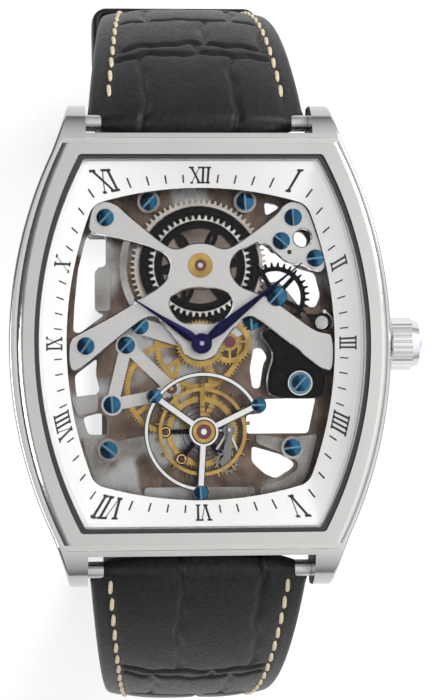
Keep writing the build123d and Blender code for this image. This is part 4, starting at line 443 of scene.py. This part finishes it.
def outline_radius(half_width, half_height, corner_x, corner_y):
    """A tonneau of four arcs, as its radius at an angle in degrees."""
    points = []
    points += arc_points((corner_x, -corner_y), (half_width, 0), (corner_x, corner_y))
    points += arc_points((corner_x, corner_y), (0, half_height), (-corner_x, corner_y))
    points += arc_points((-corner_x, corner_y), (-half_width, 0), (-corner_x, -corner_y))
    points += arc_points((-corner_x, -corner_y), (0, -half_height), (corner_x, -corner_y))
    points = np.array(points)
    angles = np.degrees(np.arctan2(points[:, 1], points[:, 0])) % 360
    order = np.argsort(angles)
    radii = np.hypot(points[:, 0], points[:, 1])
    return lambda angle: np.interp(angle % 360, angles[order], radii[order], period=360)


ring_inner = outline_radius(14.15, 16.45, 11.3, 14.7)
ring_outer = outline_radius(16.7, 18.95, 12.04, 18.8)
ring_tree = tree_of(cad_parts["chapter_ring"])
INK_HEIGHT, INK_DEPTH = 0.012, 0.03
RAY_FROM, RING_HEIGHT = 20.0, 9.0


def ring_point(angle, share):
    """A place on the ring's slope: an angle from the hands' axis and a share of the ring's width."""
    inner, outer = ring_inner(angle), ring_outer(angle)
    radius = inner + share * (outer - inner)
    return radius * math.cos(math.radians(angle)), radius * math.sin(math.radians(angle))


def ring_height(x, y):
    hit = ring_tree.ray_cast(Vector((x * MM, y * MM, RAY_FROM * MM)), Vector((0, 0, -1)))[0]
    return hit.z / MM if hit is not None else RING_HEIGHT


def ink_strip(points, faces, corners, along=8, across=2):
    """A thin raised patch of ink between four (angle, share) places, round from the base's left."""
    first = len(points)
    for lift in (INK_HEIGHT, -INK_DEPTH):
        for i in range(along + 1):
            for j in range(across + 1):
                f, g = i / along, j / across
                left = [corners[0][k] * (1 - f) + corners[3][k] * f for k in (0, 1)]
                right = [corners[1][k] * (1 - f) + corners[2][k] * f for k in (0, 1)]
                x, y = ring_point(left[0] * (1 - g) + right[0] * g, left[1] * (1 - g) + right[1] * g)
                points.append((x * MM, y * MM, (ring_height(x, y) + lift) * MM))
    row, layer = across + 1, (along + 1) * (across + 1)
    for i in range(along):
        for j in range(across):
            a = first + i * row + j
            faces.append((a, a + 1, a + row + 1, a + row))
            faces.append((a + layer, a + row + layer, a + row + 1 + layer, a + 1 + layer))
    rim = [first + j for j in range(row)]
    rim += [first + i * row + across for i in range(1, along + 1)]
    rim += [first + along * row + j for j in range(across - 1, -1, -1)]
    rim += [first + i * row for i in range(along - 1, 0, -1)]
    for k, a in enumerate(rim):
        b = rim[(k + 1) % len(rim)]
        faces.append((a, a + layer, b + layer, b))


# A numeral's foot and head as shares of the ring's width, and its widths in degrees of the dial
BASE_SHARE, TOP_SHARE = 0.2, 0.8
THICK, THIN = 0.78, 0.30
SERIF, SERIF_SHARE = 0.42, 0.035
LETTER_WIDTH = {"I": 1.75, "V": 3.3, "X": 3.4}
LETTER_ROOM, FOOT_APART = 0.35, 0.1


def stroke(points, faces, angle, base_at, top_at, width):
    """One stroke with serifs; its places are degrees to the right of an angle, seen from the centre."""
    half = width / 2
    low, high = BASE_SHARE, TOP_SHARE
    ink_strip(points, faces, [(angle - base_at + half, low), (angle - base_at - half, low),
                              (angle - top_at - half, high), (angle - top_at + half, high)])
    for at, share in ((base_at, low), (top_at, high)):
        grow = half + SERIF
        left, right = angle - at + grow, angle - at - grow
        foot, head = share - SERIF_SHARE, share + SERIF_SHARE
        ink_strip(points, faces, [(left, foot), (right, foot), (right, head), (left, head)], 2, 4)


def numeral(points, faces, letters, angle):
    at = -sum(LETTER_WIDTH[c] for c in letters) / 2
    for c in letters:
        width = LETTER_WIDTH[c]
        middle, reach = at + width / 2, width / 2 - LETTER_ROOM
        strokes = {
            "I": ((middle, middle, THICK),),
            "V": ((middle - FOOT_APART, middle - reach, THICK), (middle + FOOT_APART, middle + reach, THIN)),
            "X": ((middle + reach, middle - reach, THICK), (middle - reach, middle + reach, THIN)),
        }
        for base_at, top_at, thick in strokes[c]:
            stroke(points, faces, angle, base_at, top_at, thick)
        at += width


NUMERALS = ("XII", "I", "II", "III", "IIII", "V", "VI", "VII", "VIII", "IX", "X", "XI")
ink_points, ink_faces = [], []
for hour, letters in enumerate(NUMERALS):
    numeral(ink_points, ink_faces, letters, 90 - 30 * hour)
mesh_numerals = mesh_object("numerals", ink_points, ink_faces, [INK], smooth=False)
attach(mesh_numerals, "case")
MARK_HALF, MARK_FOOT, MARK_HEAD = 0.27, 0.2, 0.52
mark_points, mark_faces = [], []
for minute in range(60):
    if minute % 5:
        left, right = 90 - 6 * minute + MARK_HALF, 90 - 6 * minute - MARK_HALF
        corners = [(left, MARK_FOOT), (right, MARK_FOOT), (right, MARK_HEAD), (left, MARK_HEAD)]
        ink_strip(mark_points, mark_faces, corners, 4, 1)
minute_marks = mesh_object("minute_marks", mark_points, mark_faces, [INK], smooth=False)
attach(minute_marks, "case")


# Strap: it curls down from its bar on a large arc, then a small one, and ends flat. Sizes are in millimetres
CURL, TUCK, CURL_TURN = 39.7, 22.0, 85.0
BAR_Y, BAR_Z = 24.0, 2.5
LUG_WIDTH, END_WIDTH, TAPER = 23.6, 18.0, 38.0
LUG_THICK, END_THICK, THIN_FROM = 4.2, 2.6, 60.0
BUCKLE_LENGTH, TIP_GAP = 9.6, 5.0
START = math.degrees(math.asin(BAR_Y / CURL))
CURL_Z = BAR_Z - CURL * math.cos(math.radians(START))
TUCK_FROM = CURL * math.radians(CURL_TURN)
TUCK_TURN = 180 - START - CURL_TURN
TUCK_LENGTH = TUCK * math.radians(TUCK_TURN)
TUCK_Y = (CURL - TUCK) * math.sin(math.radians(START + CURL_TURN))
TUCK_Z = CURL_Z + (CURL - TUCK) * math.cos(math.radians(START + CURL_TURN))
SHORT = 70.0
LONG = 2 * (TUCK_FROM + TUCK_LENGTH + TUCK_Y) - SHORT - BUCKLE_LENGTH - TIP_GAP
TIP_LENGTH, TIP_WIDTH, TIP_CORNER = 6.0, 11.9, 0.9
LAST_HOLE, HOLE_PITCH, HOLE_COUNT, HOLE_RADIUS = 92.05, 6.5, 6, 0.9
SLOT_WIDTH, SLOT_FROM, SLOT_REACH = 2.2, 66.6, 8.0
CUT_REACH = 4.0


def strap_place(length):
    """Middle of the strap at a length from the bar: y, z and the turn of its outward normal from +Z."""
    if length > TUCK_FROM + TUCK_LENGTH:
        return TUCK_Y - (length - TUCK_FROM - TUCK_LENGTH), TUCK_Z - TUCK, 180.0
    if length > TUCK_FROM:
        turn = START + CURL_TURN + math.degrees((length - TUCK_FROM) / TUCK)
        radius, y, z = TUCK, TUCK_Y, TUCK_Z
    else:
        turn = START + math.degrees(length / CURL)
        radius, y, z = CURL, 0, CURL_Z
    return y + radius * math.sin(math.radians(turn)), z + radius * math.cos(math.radians(turn)), turn


def strap_frame(length):
    """The strap's middle at a length from the bar, with its outward normal and its direction along."""
    y, z, turn = strap_place(length)
    sine, cosine = math.sin(math.radians(turn)), math.cos(math.radians(turn))
    return Vector((0, y, z)), Vector((0, sine, cosine)), Vector((0, cosine, -sine))


def strap_width(length):
    return LUG_WIDTH + (END_WIDTH - LUG_WIDTH) * min(max(length, 0) / TAPER, 1)


def strap_thickness(length):
    share = min(max(length, 0) / THIN_FROM, 1)
    return LUG_THICK + (END_THICK - LUG_THICK) * math.sin(math.radians(90 * share))


def smooth_step(value):
    value = np.clip(value, 0, 1)
    return value * value * (3 - 2 * value)


# Rows of scales: where each row ends along the strap, and where the grooves within it lie across
SHORT_ROWS = (
    (9.0, (-5.6, 4.2)), (11.3, (0.6,)), (19.0, (-8.3, 1.6, 8.0)), (28.0, (-4.6, 5.0)),
    (36.5, (0.9, -7.0, 7.2)), (44.5, (-3.6, 4.1)), (52.0, (0.3, -6.0, 6.2)), (59.0, (-3.2, 3.6)),
    (66.0, (0.4, 6.0, -5.6)), (90.0, (2.8, -3.2)),
)
LONG_ROWS = (
    (15.6, (-1.9, 6.6)), (17.6, (2.0,)), (26.0, (-4.4, 4.0)), (35.0, (1.2, -7.2, 7.0)),
    (43.5, (-4.0, 3.6)), (51.5, (0.2, 6.6, -6.3)), (59.0, (-3.4, 3.8)), (66.0, (0.5, -6.0, 6.1)),
    (73.0, (-3.0, 3.4)), (79.5, (0.2, 5.8, -5.7)), (86.0, (-2.8, 3.2)), (92.5, (0.4, -5.4, 5.5)),
    (99.0, (-2.6, 2.9)), (130.0, (0.3, 4.6, -4.5)),
)
GROOVE_DEPTH, GROOVE_WIDTH = 0.30, 0.33
SWELL_DEPTH, SWELL_WIDTH = 0.14, 1.1
WANDER = 0.35


def wave(value, seed):
    return np.sin(value * 0.71 + seed * 1.3) * 0.6 + np.sin(value * 1.63 + seed * 2.1) * 0.4


def groove_depth(along, across, rows):
    """How far the grooves between the scales sink at each point, in millimetres."""
    nearest = np.full(along.shape, 9.0)
    start = np.full(along.shape, -30.0)
    for index, (end, splits) in enumerate(rows):
        bow = 0.9 - 1.9 * (across / 11.0) ** 2 * (1 if index % 2 else 0.5)
        border = end + bow + WANDER * wave(across * 1.4, index)
        nearest = np.minimum(nearest, np.abs(along - border))
        away = np.maximum(np.maximum(start - along, along - border), 0)
        for k, split in enumerate(splits):
            line = split + WANDER * wave(along * 0.8, index * 3 + k)
            nearest = np.minimum(nearest, np.hypot(across - line, away))
        start = border
    groove = GROOVE_DEPTH * np.exp(-(nearest / GROOVE_WIDTH) ** 2)
    return groove + SWELL_DEPTH * np.exp(-nearest / SWELL_WIDTH)


# The strap's section: crowned on top, flatter below, with rounded edges
STITCH_INSET = 2.15
CHANNEL_DEPTH, CHANNEL_WIDTH = 0.16, 0.38
TOP_EDGE, TOP_EDGE_SHARE = 0.55, 0.9
LOW_EDGE, LOW_EDGE_DROP = 0.4, 0.35
CROWN_POWER, CROWN_SHARE, CROWN_LEAST = 3.2, 0.85, 0.25
FLAT_THICK, CROWN_FROM = 2.0, 2.3
END_FADE, FLAT_FROM, CHANNEL_FROM = 6.0, 7.0, 4.0
COLUMNS, UNDER, WALL, ROLL_STEPS, END_STEPS = 117, 41, 3, 14, 12
STEP = 0.3


def quarter_round(over):
    return 1 - np.sqrt(1 - over**2)


def section_shape(at, across_top, across_low, kind, lift, length, rows, pointed):
    """Half the strap's thickness above and below its middle at each place across, and those places."""
    width, thick, left = strap_width(at), strap_thickness(at), length - at
    if pointed and left < TIP_LENGTH:
        share = 1 - left / TIP_LENGTH
        corner = max(1 - left / TIP_CORNER, 0)
        width = TIP_WIDTH + (width - TIP_WIDTH) * (1 - share**1.15)
        width -= 2 * TIP_CORNER * (1 - math.sqrt(1 - corner**2))
        thick = thick * (1 - 0.2 * share**6)
    half = width / 2
    loss = (thick - FLAT_THICK) * CROWN_SHARE if thick > CROWN_FROM else CROWN_LEAST
    x_top, x_low = across_top * half, across_low * half
    over = np.clip((np.abs(x_top) - (half - TOP_EDGE)) / TOP_EDGE, 0, 1)
    drop = loss * np.abs(across_top) ** CROWN_POWER + TOP_EDGE * quarter_round(over) * TOP_EDGE_SHARE
    top = thick / 2 - drop
    over = np.clip((np.abs(x_low) - (half - LOW_EDGE)) / LOW_EDGE, 0, 1)
    low_flat = thick / 2 - LOW_EDGE_DROP * quarter_round(over)
    near = 1.0 if kind == "end" else float(smooth_step(at / FLAT_FROM))
    low = np.interp(x_low, x_top, top) * (1 - near) + low_flat * near
    if not pointed and left < END_FADE:
        fade = float(smooth_step(left / END_FADE))
        top = top * fade + (thick / 2 - CROWN_LEAST * np.abs(across_top) ** 3) * (1 - fade)
        low = low * fade + (thick / 2 - CROWN_LEAST * np.abs(across_low) ** 3) * (1 - fade)
    inset = np.abs(x_top) - (half - STITCH_INSET)
    field = groove_depth(np.full(len(x_top), at - lift), x_top, rows)
    field = field * (1 - smooth_step((inset + 0.9) / 0.8))
    channel = CHANNEL_DEPTH * np.exp(-(inset / CHANNEL_WIDTH) ** 2) * min(max(at / CHANNEL_FROM, 0), 1)
    return x_top, top - field - channel, x_low, low


def between(one, two, parts):
    """Points that cut the line between two points into equal parts."""
    for i in range(1, parts):
        f = i / parts
        yield tuple(one[k] * (1 - f) + two[k] * f for k in range(3))


def strap_half(name, length, side, rows, pointed):
    """One padded half: a ring of points for each place along it, rolled round the bar at the start."""
    across_top = np.linspace(-1, 1, COLUMNS)
    across_top = np.sign(across_top) * (1 - (1 - np.abs(across_top)) ** 1.15)
    across_low = np.linspace(1, -1, UNDER)
    steps = int(length / STEP)
    stations = [("roll", 0.0, math.radians(90 * (1 - i / ROLL_STEPS))) for i in range(ROLL_STEPS)]
    stations += [("run", length * i / steps, 0.0) for i in range(steps + 1)]
    if not pointed:
        stations += [("end", length, math.radians(90 * (i + 1) / END_STEPS)) for i in range(END_STEPS)]
    rings = []
    for kind, at, roll in stations:
        lift = 1.6 * roll if kind == "roll" else 0
        x_top, top, x_low, low = section_shape(at, across_top, across_low, kind, lift, length, rows, pointed)
        cosine = math.cos(roll)
        sine = -math.sin(roll) if kind == "roll" else math.sin(roll)
        up = [(x, h * cosine, h * sine) for x, h in zip(x_top, top)]
        down = [(x, -h * cosine, h * sine) for x, h in zip(x_low, low)]
        ring = [*up, *between(up[-1], down[0], WALL + 1), *down, *between(down[-1], up[0], WALL + 1)]
        y, z, turn = strap_place(at)
        turn = math.radians(turn)
        normal = np.array([0, math.sin(turn), math.cos(turn)])
        tangent = np.array([0, math.cos(turn), -math.sin(turn)])
        centre = np.array([0, y, z])
        rings.append([centre + np.array([x, 0, 0]) + normal * h + tangent * t for x, h, t in ring])
    count = len(rings[0])
    points = np.array(rings).reshape(-1, 3) * MM
    points[:, 1] *= side
    faces, kinds = [], []
    for i in range(len(rings) - 1):
        for j in range(count):
            k = (j + 1) % count
            a, b, c, d = i * count + j, i * count + k, (i + 1) * count + k, (i + 1) * count + j
            faces.append((a, b, c, d) if side > 0 else (a, d, c, b))
            if j < COLUMNS - 1:
                kinds.append(0)
            elif COLUMNS + WALL <= j < COLUMNS + WALL + UNDER - 1:
                kinds.append(1)
            else:
                kinds.append(2)
    if pointed:
        last = (len(rings) - 1) * count
        faces.append(tuple(range(last, last + count)))
        kinds.append(2)
    piece = mesh_object(name, points, faces, [LEATHER, LINING, EDGE], kinds=kinds)
    welded(piece, 0.000002)
    return piece


def prism_faces(points, faces, outline, low, high, place):
    first, count = len(points), len(outline)
    for height in (low, high):
        points += [place(x, along, height) for x, along in outline]
    faces.append(tuple(first + k for k in range(count)))
    faces.append(tuple(first + count + k for k in range(count - 1, -1, -1)))
    for k in range(count):
        m = (k + 1) % count
        faces.append((first + m, first + k, first + count + k, first + count + m))


def punched(piece, side, outlines):
    """Cuts upright holes through a strap half; each has its place along it and (across, along) points."""
    points, faces = [], []
    for at, outline in outlines:
        middle, normal, tangent = strap_frame(at)

        def place(x, along, height):
            p = Vector((x, middle.y, middle.z)) + tangent * along + normal * height
            return (p.x * MM, side * p.y * MM, p.z * MM)
        prism_faces(points, faces, outline, -CUT_REACH, CUT_REACH, place)
    cutter = mesh_object(piece.name + "_cutter", points, faces, [EDGE], False)
    welded(cutter, 0.0000001)
    cut = piece.modifiers.new("holes", "BOOLEAN")
    cut.operation, cut.solver, cut.object = "DIFFERENCE", "EXACT", cutter
    cut.use_hole_tolerant = True
    bpy.context.view_layer.update()
    shape = bpy.data.meshes.new_from_object(piece.evaluated_get(bpy.context.evaluated_depsgraph_get()))
    piece.modifiers.clear()
    piece.data = shape
    bpy.data.objects.remove(cutter)


def round_points(radius, first, last, parts):
    """Points on a circle from one part of a half turn to another."""
    angles = [math.pi * k / parts for k in range(first, last)]
    return [(radius * math.cos(angle), radius * math.sin(angle)) for angle in angles]


leather_12 = strap_half("strap_12_leather", SHORT, 1, SHORT_ROWS, False)
leather_6 = strap_half("strap_6_leather", LONG, -1, LONG_ROWS, True)
hole_outline = round_points(HOLE_RADIUS, 0, 32, 16)
slot_half = SLOT_WIDTH / 2
slot_outline = [(-slot_half, SLOT_REACH), (slot_half, SLOT_REACH), (slot_half, 0)]
slot_outline += [(x, -y) for x, y in round_points(slot_half, 1, 8, 8)] + [(-slot_half, 0)]
punched(leather_6, -1, [(LAST_HOLE - HOLE_PITCH * k, hole_outline) for k in range(HOLE_COUNT)])
punched(leather_12, 1, [(SLOT_FROM + slot_half, slot_outline)])
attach(leather_12, "strap_short_half")
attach(leather_6, "strap_long_half")
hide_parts("strap_12")
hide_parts("strap_6")


def strap_point(side, length, x, height):
    y, z, turn = strap_place(length)
    turn = math.radians(turn)
    return Vector((x, side * (y + height * math.sin(turn)), z + height * math.cos(turn))) * MM


def stitch_line(name, side, first, last, body, seat):
    """Two rows of waxed thread, each stitch a short bent capsule sunk in its channel."""
    points, faces = [], []
    tree = tree_of(seat)
    pitch, length, radius, ring, rows = 2.6, 2.1, 0.24, 8, 9
    slant, rise, sink = 0.10, 0.16, 0.34
    for flank in (-1, 1):
        at = first
        while at + length < last:
            spine = []
            for i in range(rows):
                f = i / (rows - 1)
                s = at + length * f
                x = flank * (strap_width(s) / 2 - STITCH_INSET) + flank * slant * (f - 0.5) * 2
                normal = strap_frame(s)[1] * Vector((1, side, 1))
                origin = strap_point(side, s, x, 6.0)
                hit = tree.ray_cast(origin, -normal)[0]
                if hit is None:
                    hit = strap_point(side, s, x, 1.0)
                lift = rise - sink * abs(2 * f - 1) ** 4
                spine.append((hit + normal * lift * MM, normal))
            start = len(points)
            for i, (middle, normal) in enumerate(spine):
                ahead = spine[min(i + 1, rows - 1)][0] - spine[max(i - 1, 0)][0]
                ahead.normalize()
                sideways = ahead.cross(normal).normalized()
                upward = sideways.cross(ahead).normalized()
                f = i / (rows - 1)
                size = radius * math.sqrt(max(1 - abs(2 * f - 1) ** 4, 0.06)) * MM
                for k in range(ring):
                    turn = 2 * math.pi * k / ring
                    across, high = math.cos(turn) * size, math.sin(turn) * size * 0.8
                    points.append(middle + sideways * across + upward * high)
            for i in range(rows - 1):
                for k in range(ring):
                    a, b = start + i * ring + k, start + i * ring + (k + 1) % ring
                    faces.append((a, b, b + ring, a + ring))
            faces.append(tuple(start + k for k in range(ring - 1, -1, -1)))
            faces.append(tuple(start + (rows - 1) * ring + k for k in range(ring)))
            at += pitch
    piece = mesh_object(name, points, faces, [THREAD])
    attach(piece, body)
    return piece


stitch_line("stitches_12", 1, 3.0, SHORT - 3.0, "strap_short_half", leather_12)
stitch_line("stitches_6", -1, 0.5, LONG - TIP_LENGTH - 1.0, "strap_long_half", leather_6)


# Keepers
KEEPER_WALL, KEEPER_LENGTH, KEEPER_CORNER = 1.1, 5.0, 1.3
KEEPER_ROOM, KEEPER_SHIFT = 2.6, 1.3
CREASE_DEPTH, CREASE_PLACE, CREASE_WIDTH = 0.09, 0.72, 0.06


def keeper(name, node, place, grip, body):
    """A leather band: a flat rounded section swept round a soft-cornered loop."""
    wall, corner = KEEPER_WALL, KEEPER_CORNER
    half_w = (strap_width(place) + 2 * grip + wall) / 2
    half_h = (strap_thickness(place) + KEEPER_ROOM + 2 * grip + wall) / 2
    path = []
    for cx, cz, begin in ((1, 1, 0), (-1, 1, 90), (-1, -1, 180), (1, -1, 270)):
        for i in range(9):
            turn = math.radians(begin + 90 * i / 8)
            x, h = math.cos(turn), math.sin(turn)
            path.append((cx * (half_w - corner) + corner * x, cz * (half_h - corner) + corner * h, x, h))
    dense = []
    for i, here in enumerate(path):
        after = path[(i + 1) % len(path)]
        parts = max(int(math.hypot(after[0] - here[0], after[1] - here[1]) / 0.5), 1)
        for k in range(parts):
            f = k / parts
            dense.append(tuple(here[m] * (1 - f) + after[m] * f for m in range(4)))
    section = []
    count = 24
    for i in range(count + 1):
        f = -1 + 2 * i / count
        edge = 1 - abs(f) ** 6 * 0.6
        crease = CREASE_DEPTH * math.exp(-((abs(f) - CREASE_PLACE) / CREASE_WIDTH) ** 2)
        section.append((f * KEEPER_LENGTH / 2, wall / 2 * edge - crease))
    section += [(-p[0], -wall / 2 * (1 - abs(p[0] / (KEEPER_LENGTH / 2)) ** 8 * 0.5)) for p in section]
    centre, normal, tangent = strap_frame(place)
    centre = centre + normal * KEEPER_SHIFT
    points, faces = [], []
    for x, h, nx, nh in dense:
        size = math.hypot(nx, nh)
        for along, out in section:
            across = Vector((x + nx / size * out, 0, 0))
            points.append((centre + across + normal * (h + nh / size * out) + tangent * along) * MM)
    ring = len(section)
    for i in range(len(dense)):
        k = (i + 1) % len(dense)
        for j in range(ring):
            m = (j + 1) % ring
            faces.append((i * ring + j, i * ring + m, k * ring + m, k * ring + j))
    piece = mesh_object(name, points, faces, [LEATHER])
    welded(piece)
    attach(piece, body)
    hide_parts(node)


FIXED_KEEPER_BACK, SLIDING_KEEPER_BACK = 9.0, 22.0
keeper("fixed_keeper_leather", "fixed_keeper", SHORT - FIXED_KEEPER_BACK, 0.22, "strap_short_half")
keeper("sliding_keeper_leather", "sliding_keeper", SHORT - SLIDING_KEEPER_BACK, 0.35, "loose_keeper")


# Rubies in the carriage, each in a gilt ring. Profiles are (radius, height) in millimetres
def turned(name, look, x, y, profile, count=40):
    """A piece of the carriage turned about an upright axis, from its foot to the middle of its top."""
    points, faces = [], []
    for radius, height in profile:
        for k in range(count):
            turn = 2 * math.pi * k / count
            points.append((x + radius * math.cos(turn), y + radius * math.sin(turn), height))
    for i in range(len(profile) - 1):
        for k in range(count):
            m = (k + 1) % count
            faces.append((i * count + k, i * count + m, (i + 1) * count + m, (i + 1) * count + k))
    faces.append(tuple(range(count - 1, -1, -1)))
    faces.append(tuple((len(profile) - 1) * count + k for k in range(count)))
    piece = mesh_object(name, [[c * MM for c in p] for p in points], faces, [look])
    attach(piece, "carriage_body")


RUBY_PLACES = ((3.9, 180.0), (3.65, 233.0))
RUBY_RING = ((0.56, 4.98), (0.56, 5.06), (0.52, 5.09), (0.40, 5.09), (0.36, 5.05), (0.36, 4.99))
RUBY_DOME = ((0.345, 4.98), (0.345, 5.05), (0.30, 5.09), (0.18, 5.11), (0.06, 5.115))
for index, (radius, degrees) in enumerate(RUBY_PLACES):
    x = TOURBILLON[0] + radius * math.cos(math.radians(degrees))
    y = TOURBILLON[1] + radius * math.sin(math.radians(degrees))
    turned("carriage_setting_%d" % index, GILT, x, y, RUBY_RING)
    turned("carriage_ruby_%d" % index, RUBY, x, y, RUBY_DOME)


# Floor, light and camera
def stage_floor():
    mat, nodes, links, shader = new_material("floor_look")
    shader.inputs["Base Color"].default_value = (0.86, 0.86, 0.86, 1)
    shader.inputs["Roughness"].default_value = 0.9
    glow = nodes.new("ShaderNodeEmission")
    glow.inputs["Color"].default_value = (1, 1, 1, 1)
    glow.inputs["Strength"].default_value = 1.1
    path = nodes.new("ShaderNodeLightPath")
    total, other = nodes.new("ShaderNodeMath"), nodes.new("ShaderNodeMath")
    total.operation = other.operation = "MAXIMUM"
    links.new(path.outputs["Is Camera Ray"], total.inputs[0])
    links.new(other.outputs[0], total.inputs[1])
    links.new(path.outputs["Is Glossy Ray"], other.inputs[0])
    links.new(path.outputs["Is Transmission Ray"], other.inputs[1])
    share = nodes.new("ShaderNodeMath")
    share.operation = "MULTIPLY"
    share.inputs[1].default_value = 0.55
    links.new(total.outputs[0], share.inputs[0])
    mix = nodes.new("ShaderNodeMixShader")
    links.new(share.outputs[0], mix.inputs[0])
    links.new(shader.outputs[0], mix.inputs[1])
    links.new(glow.outputs[0], mix.inputs[2])
    links.new(mix.outputs[0], nodes["Material Output"].inputs["Surface"])
    size = 1.5
    low = cad_low.z - 0.00005
    corners = [(x * size, y * size, low) for x, y in ((-1, -1), (1, -1), (1, 1), (-1, 1))]
    mesh_object("floor", corners, [(0, 1, 2, 3)], [mat], False)


def area_light(name, place, target, size, power):
    lamp = bpy.data.lights.new(name, "AREA")
    lamp.shape = "RECTANGLE"
    lamp.size, lamp.size_y = size
    lamp.energy = power
    holder = bpy.data.objects.new(name, lamp)
    holder.location = place
    holder.rotation_euler = (Vector(target) - Vector(place)).to_track_quat("-Z", "Y").to_euler()
    scene.collection.objects.link(holder)


def light_scene():
    world = bpy.data.worlds.new("studio")
    scene.world = world
    world.use_nodes = True
    nodes, links = world.node_tree.nodes, world.node_tree.links
    coords = nodes.new("ShaderNodeTexCoord")
    split = nodes.new("ShaderNodeSeparateXYZ")
    links.new(coords.outputs["Generated"], split.inputs[0])
    ramp = nodes.new("ShaderNodeValToRGB")
    stops = ramp.color_ramp.elements
    stops[0].position, stops[0].color = 0.0, (0.16, 0.16, 0.17, 1)
    stops[1].position, stops[1].color = 1.0, (0.95, 0.95, 0.95, 1)
    for place, grey in ((0.35, 0.50), (0.75, 0.78)):
        stop = stops.new(place)
        stop.color = (grey, grey, grey * 1.01, 1)
    links.new(split.outputs["Z"], ramp.inputs[0])
    # the sky is darker to the left of the watch, as a studio with its lamps on the right
    side = ranged(nodes, links, split.outputs["X"], 0.25, 1.75, -0.45, 0.45)
    scaled = nodes.new("ShaderNodeVectorMath")
    scaled.operation = "SCALE"
    links.new(ramp.outputs[0], scaled.inputs[0])
    links.new(side, scaled.inputs["Scale"])
    back = nodes["Background"]
    links.new(scaled.outputs["Vector"], back.inputs["Color"])
    back.inputs["Strength"].default_value = 1.15
    area_light("key", (0.42, 0.30, 0.42), (0, 0, 0), (0.35, 0.25), 2.6)
    area_light("fill", (-0.45, -0.1, 0.45), (0, 0, 0), (0.3, 0.4), 1.7)


def place_camera():
    camera = bpy.data.objects.new("camera", bpy.data.cameras.new("camera"))
    camera.data.lens = 122.4
    camera.data.sensor_width = 36.0
    camera.data.clip_start = 0.01
    camera.data.clip_end = 10.0
    target = Vector((1.52, -0.68, 9.0)) * MM
    place = target + Vector((-17.4, -7.0, 249.3)) * MM
    back = (place - target).normalized()
    right = Vector((0.0073, 1, 0)).cross(back).normalized()
    up = back.cross(right)
    turn = Matrix((right, up, back)).transposed().to_4x4()
    turn.translation = place
    camera.matrix_world = turn
    scene.collection.objects.link(camera)
    scene.camera = camera


stage_floor()
light_scene()
place_camera()
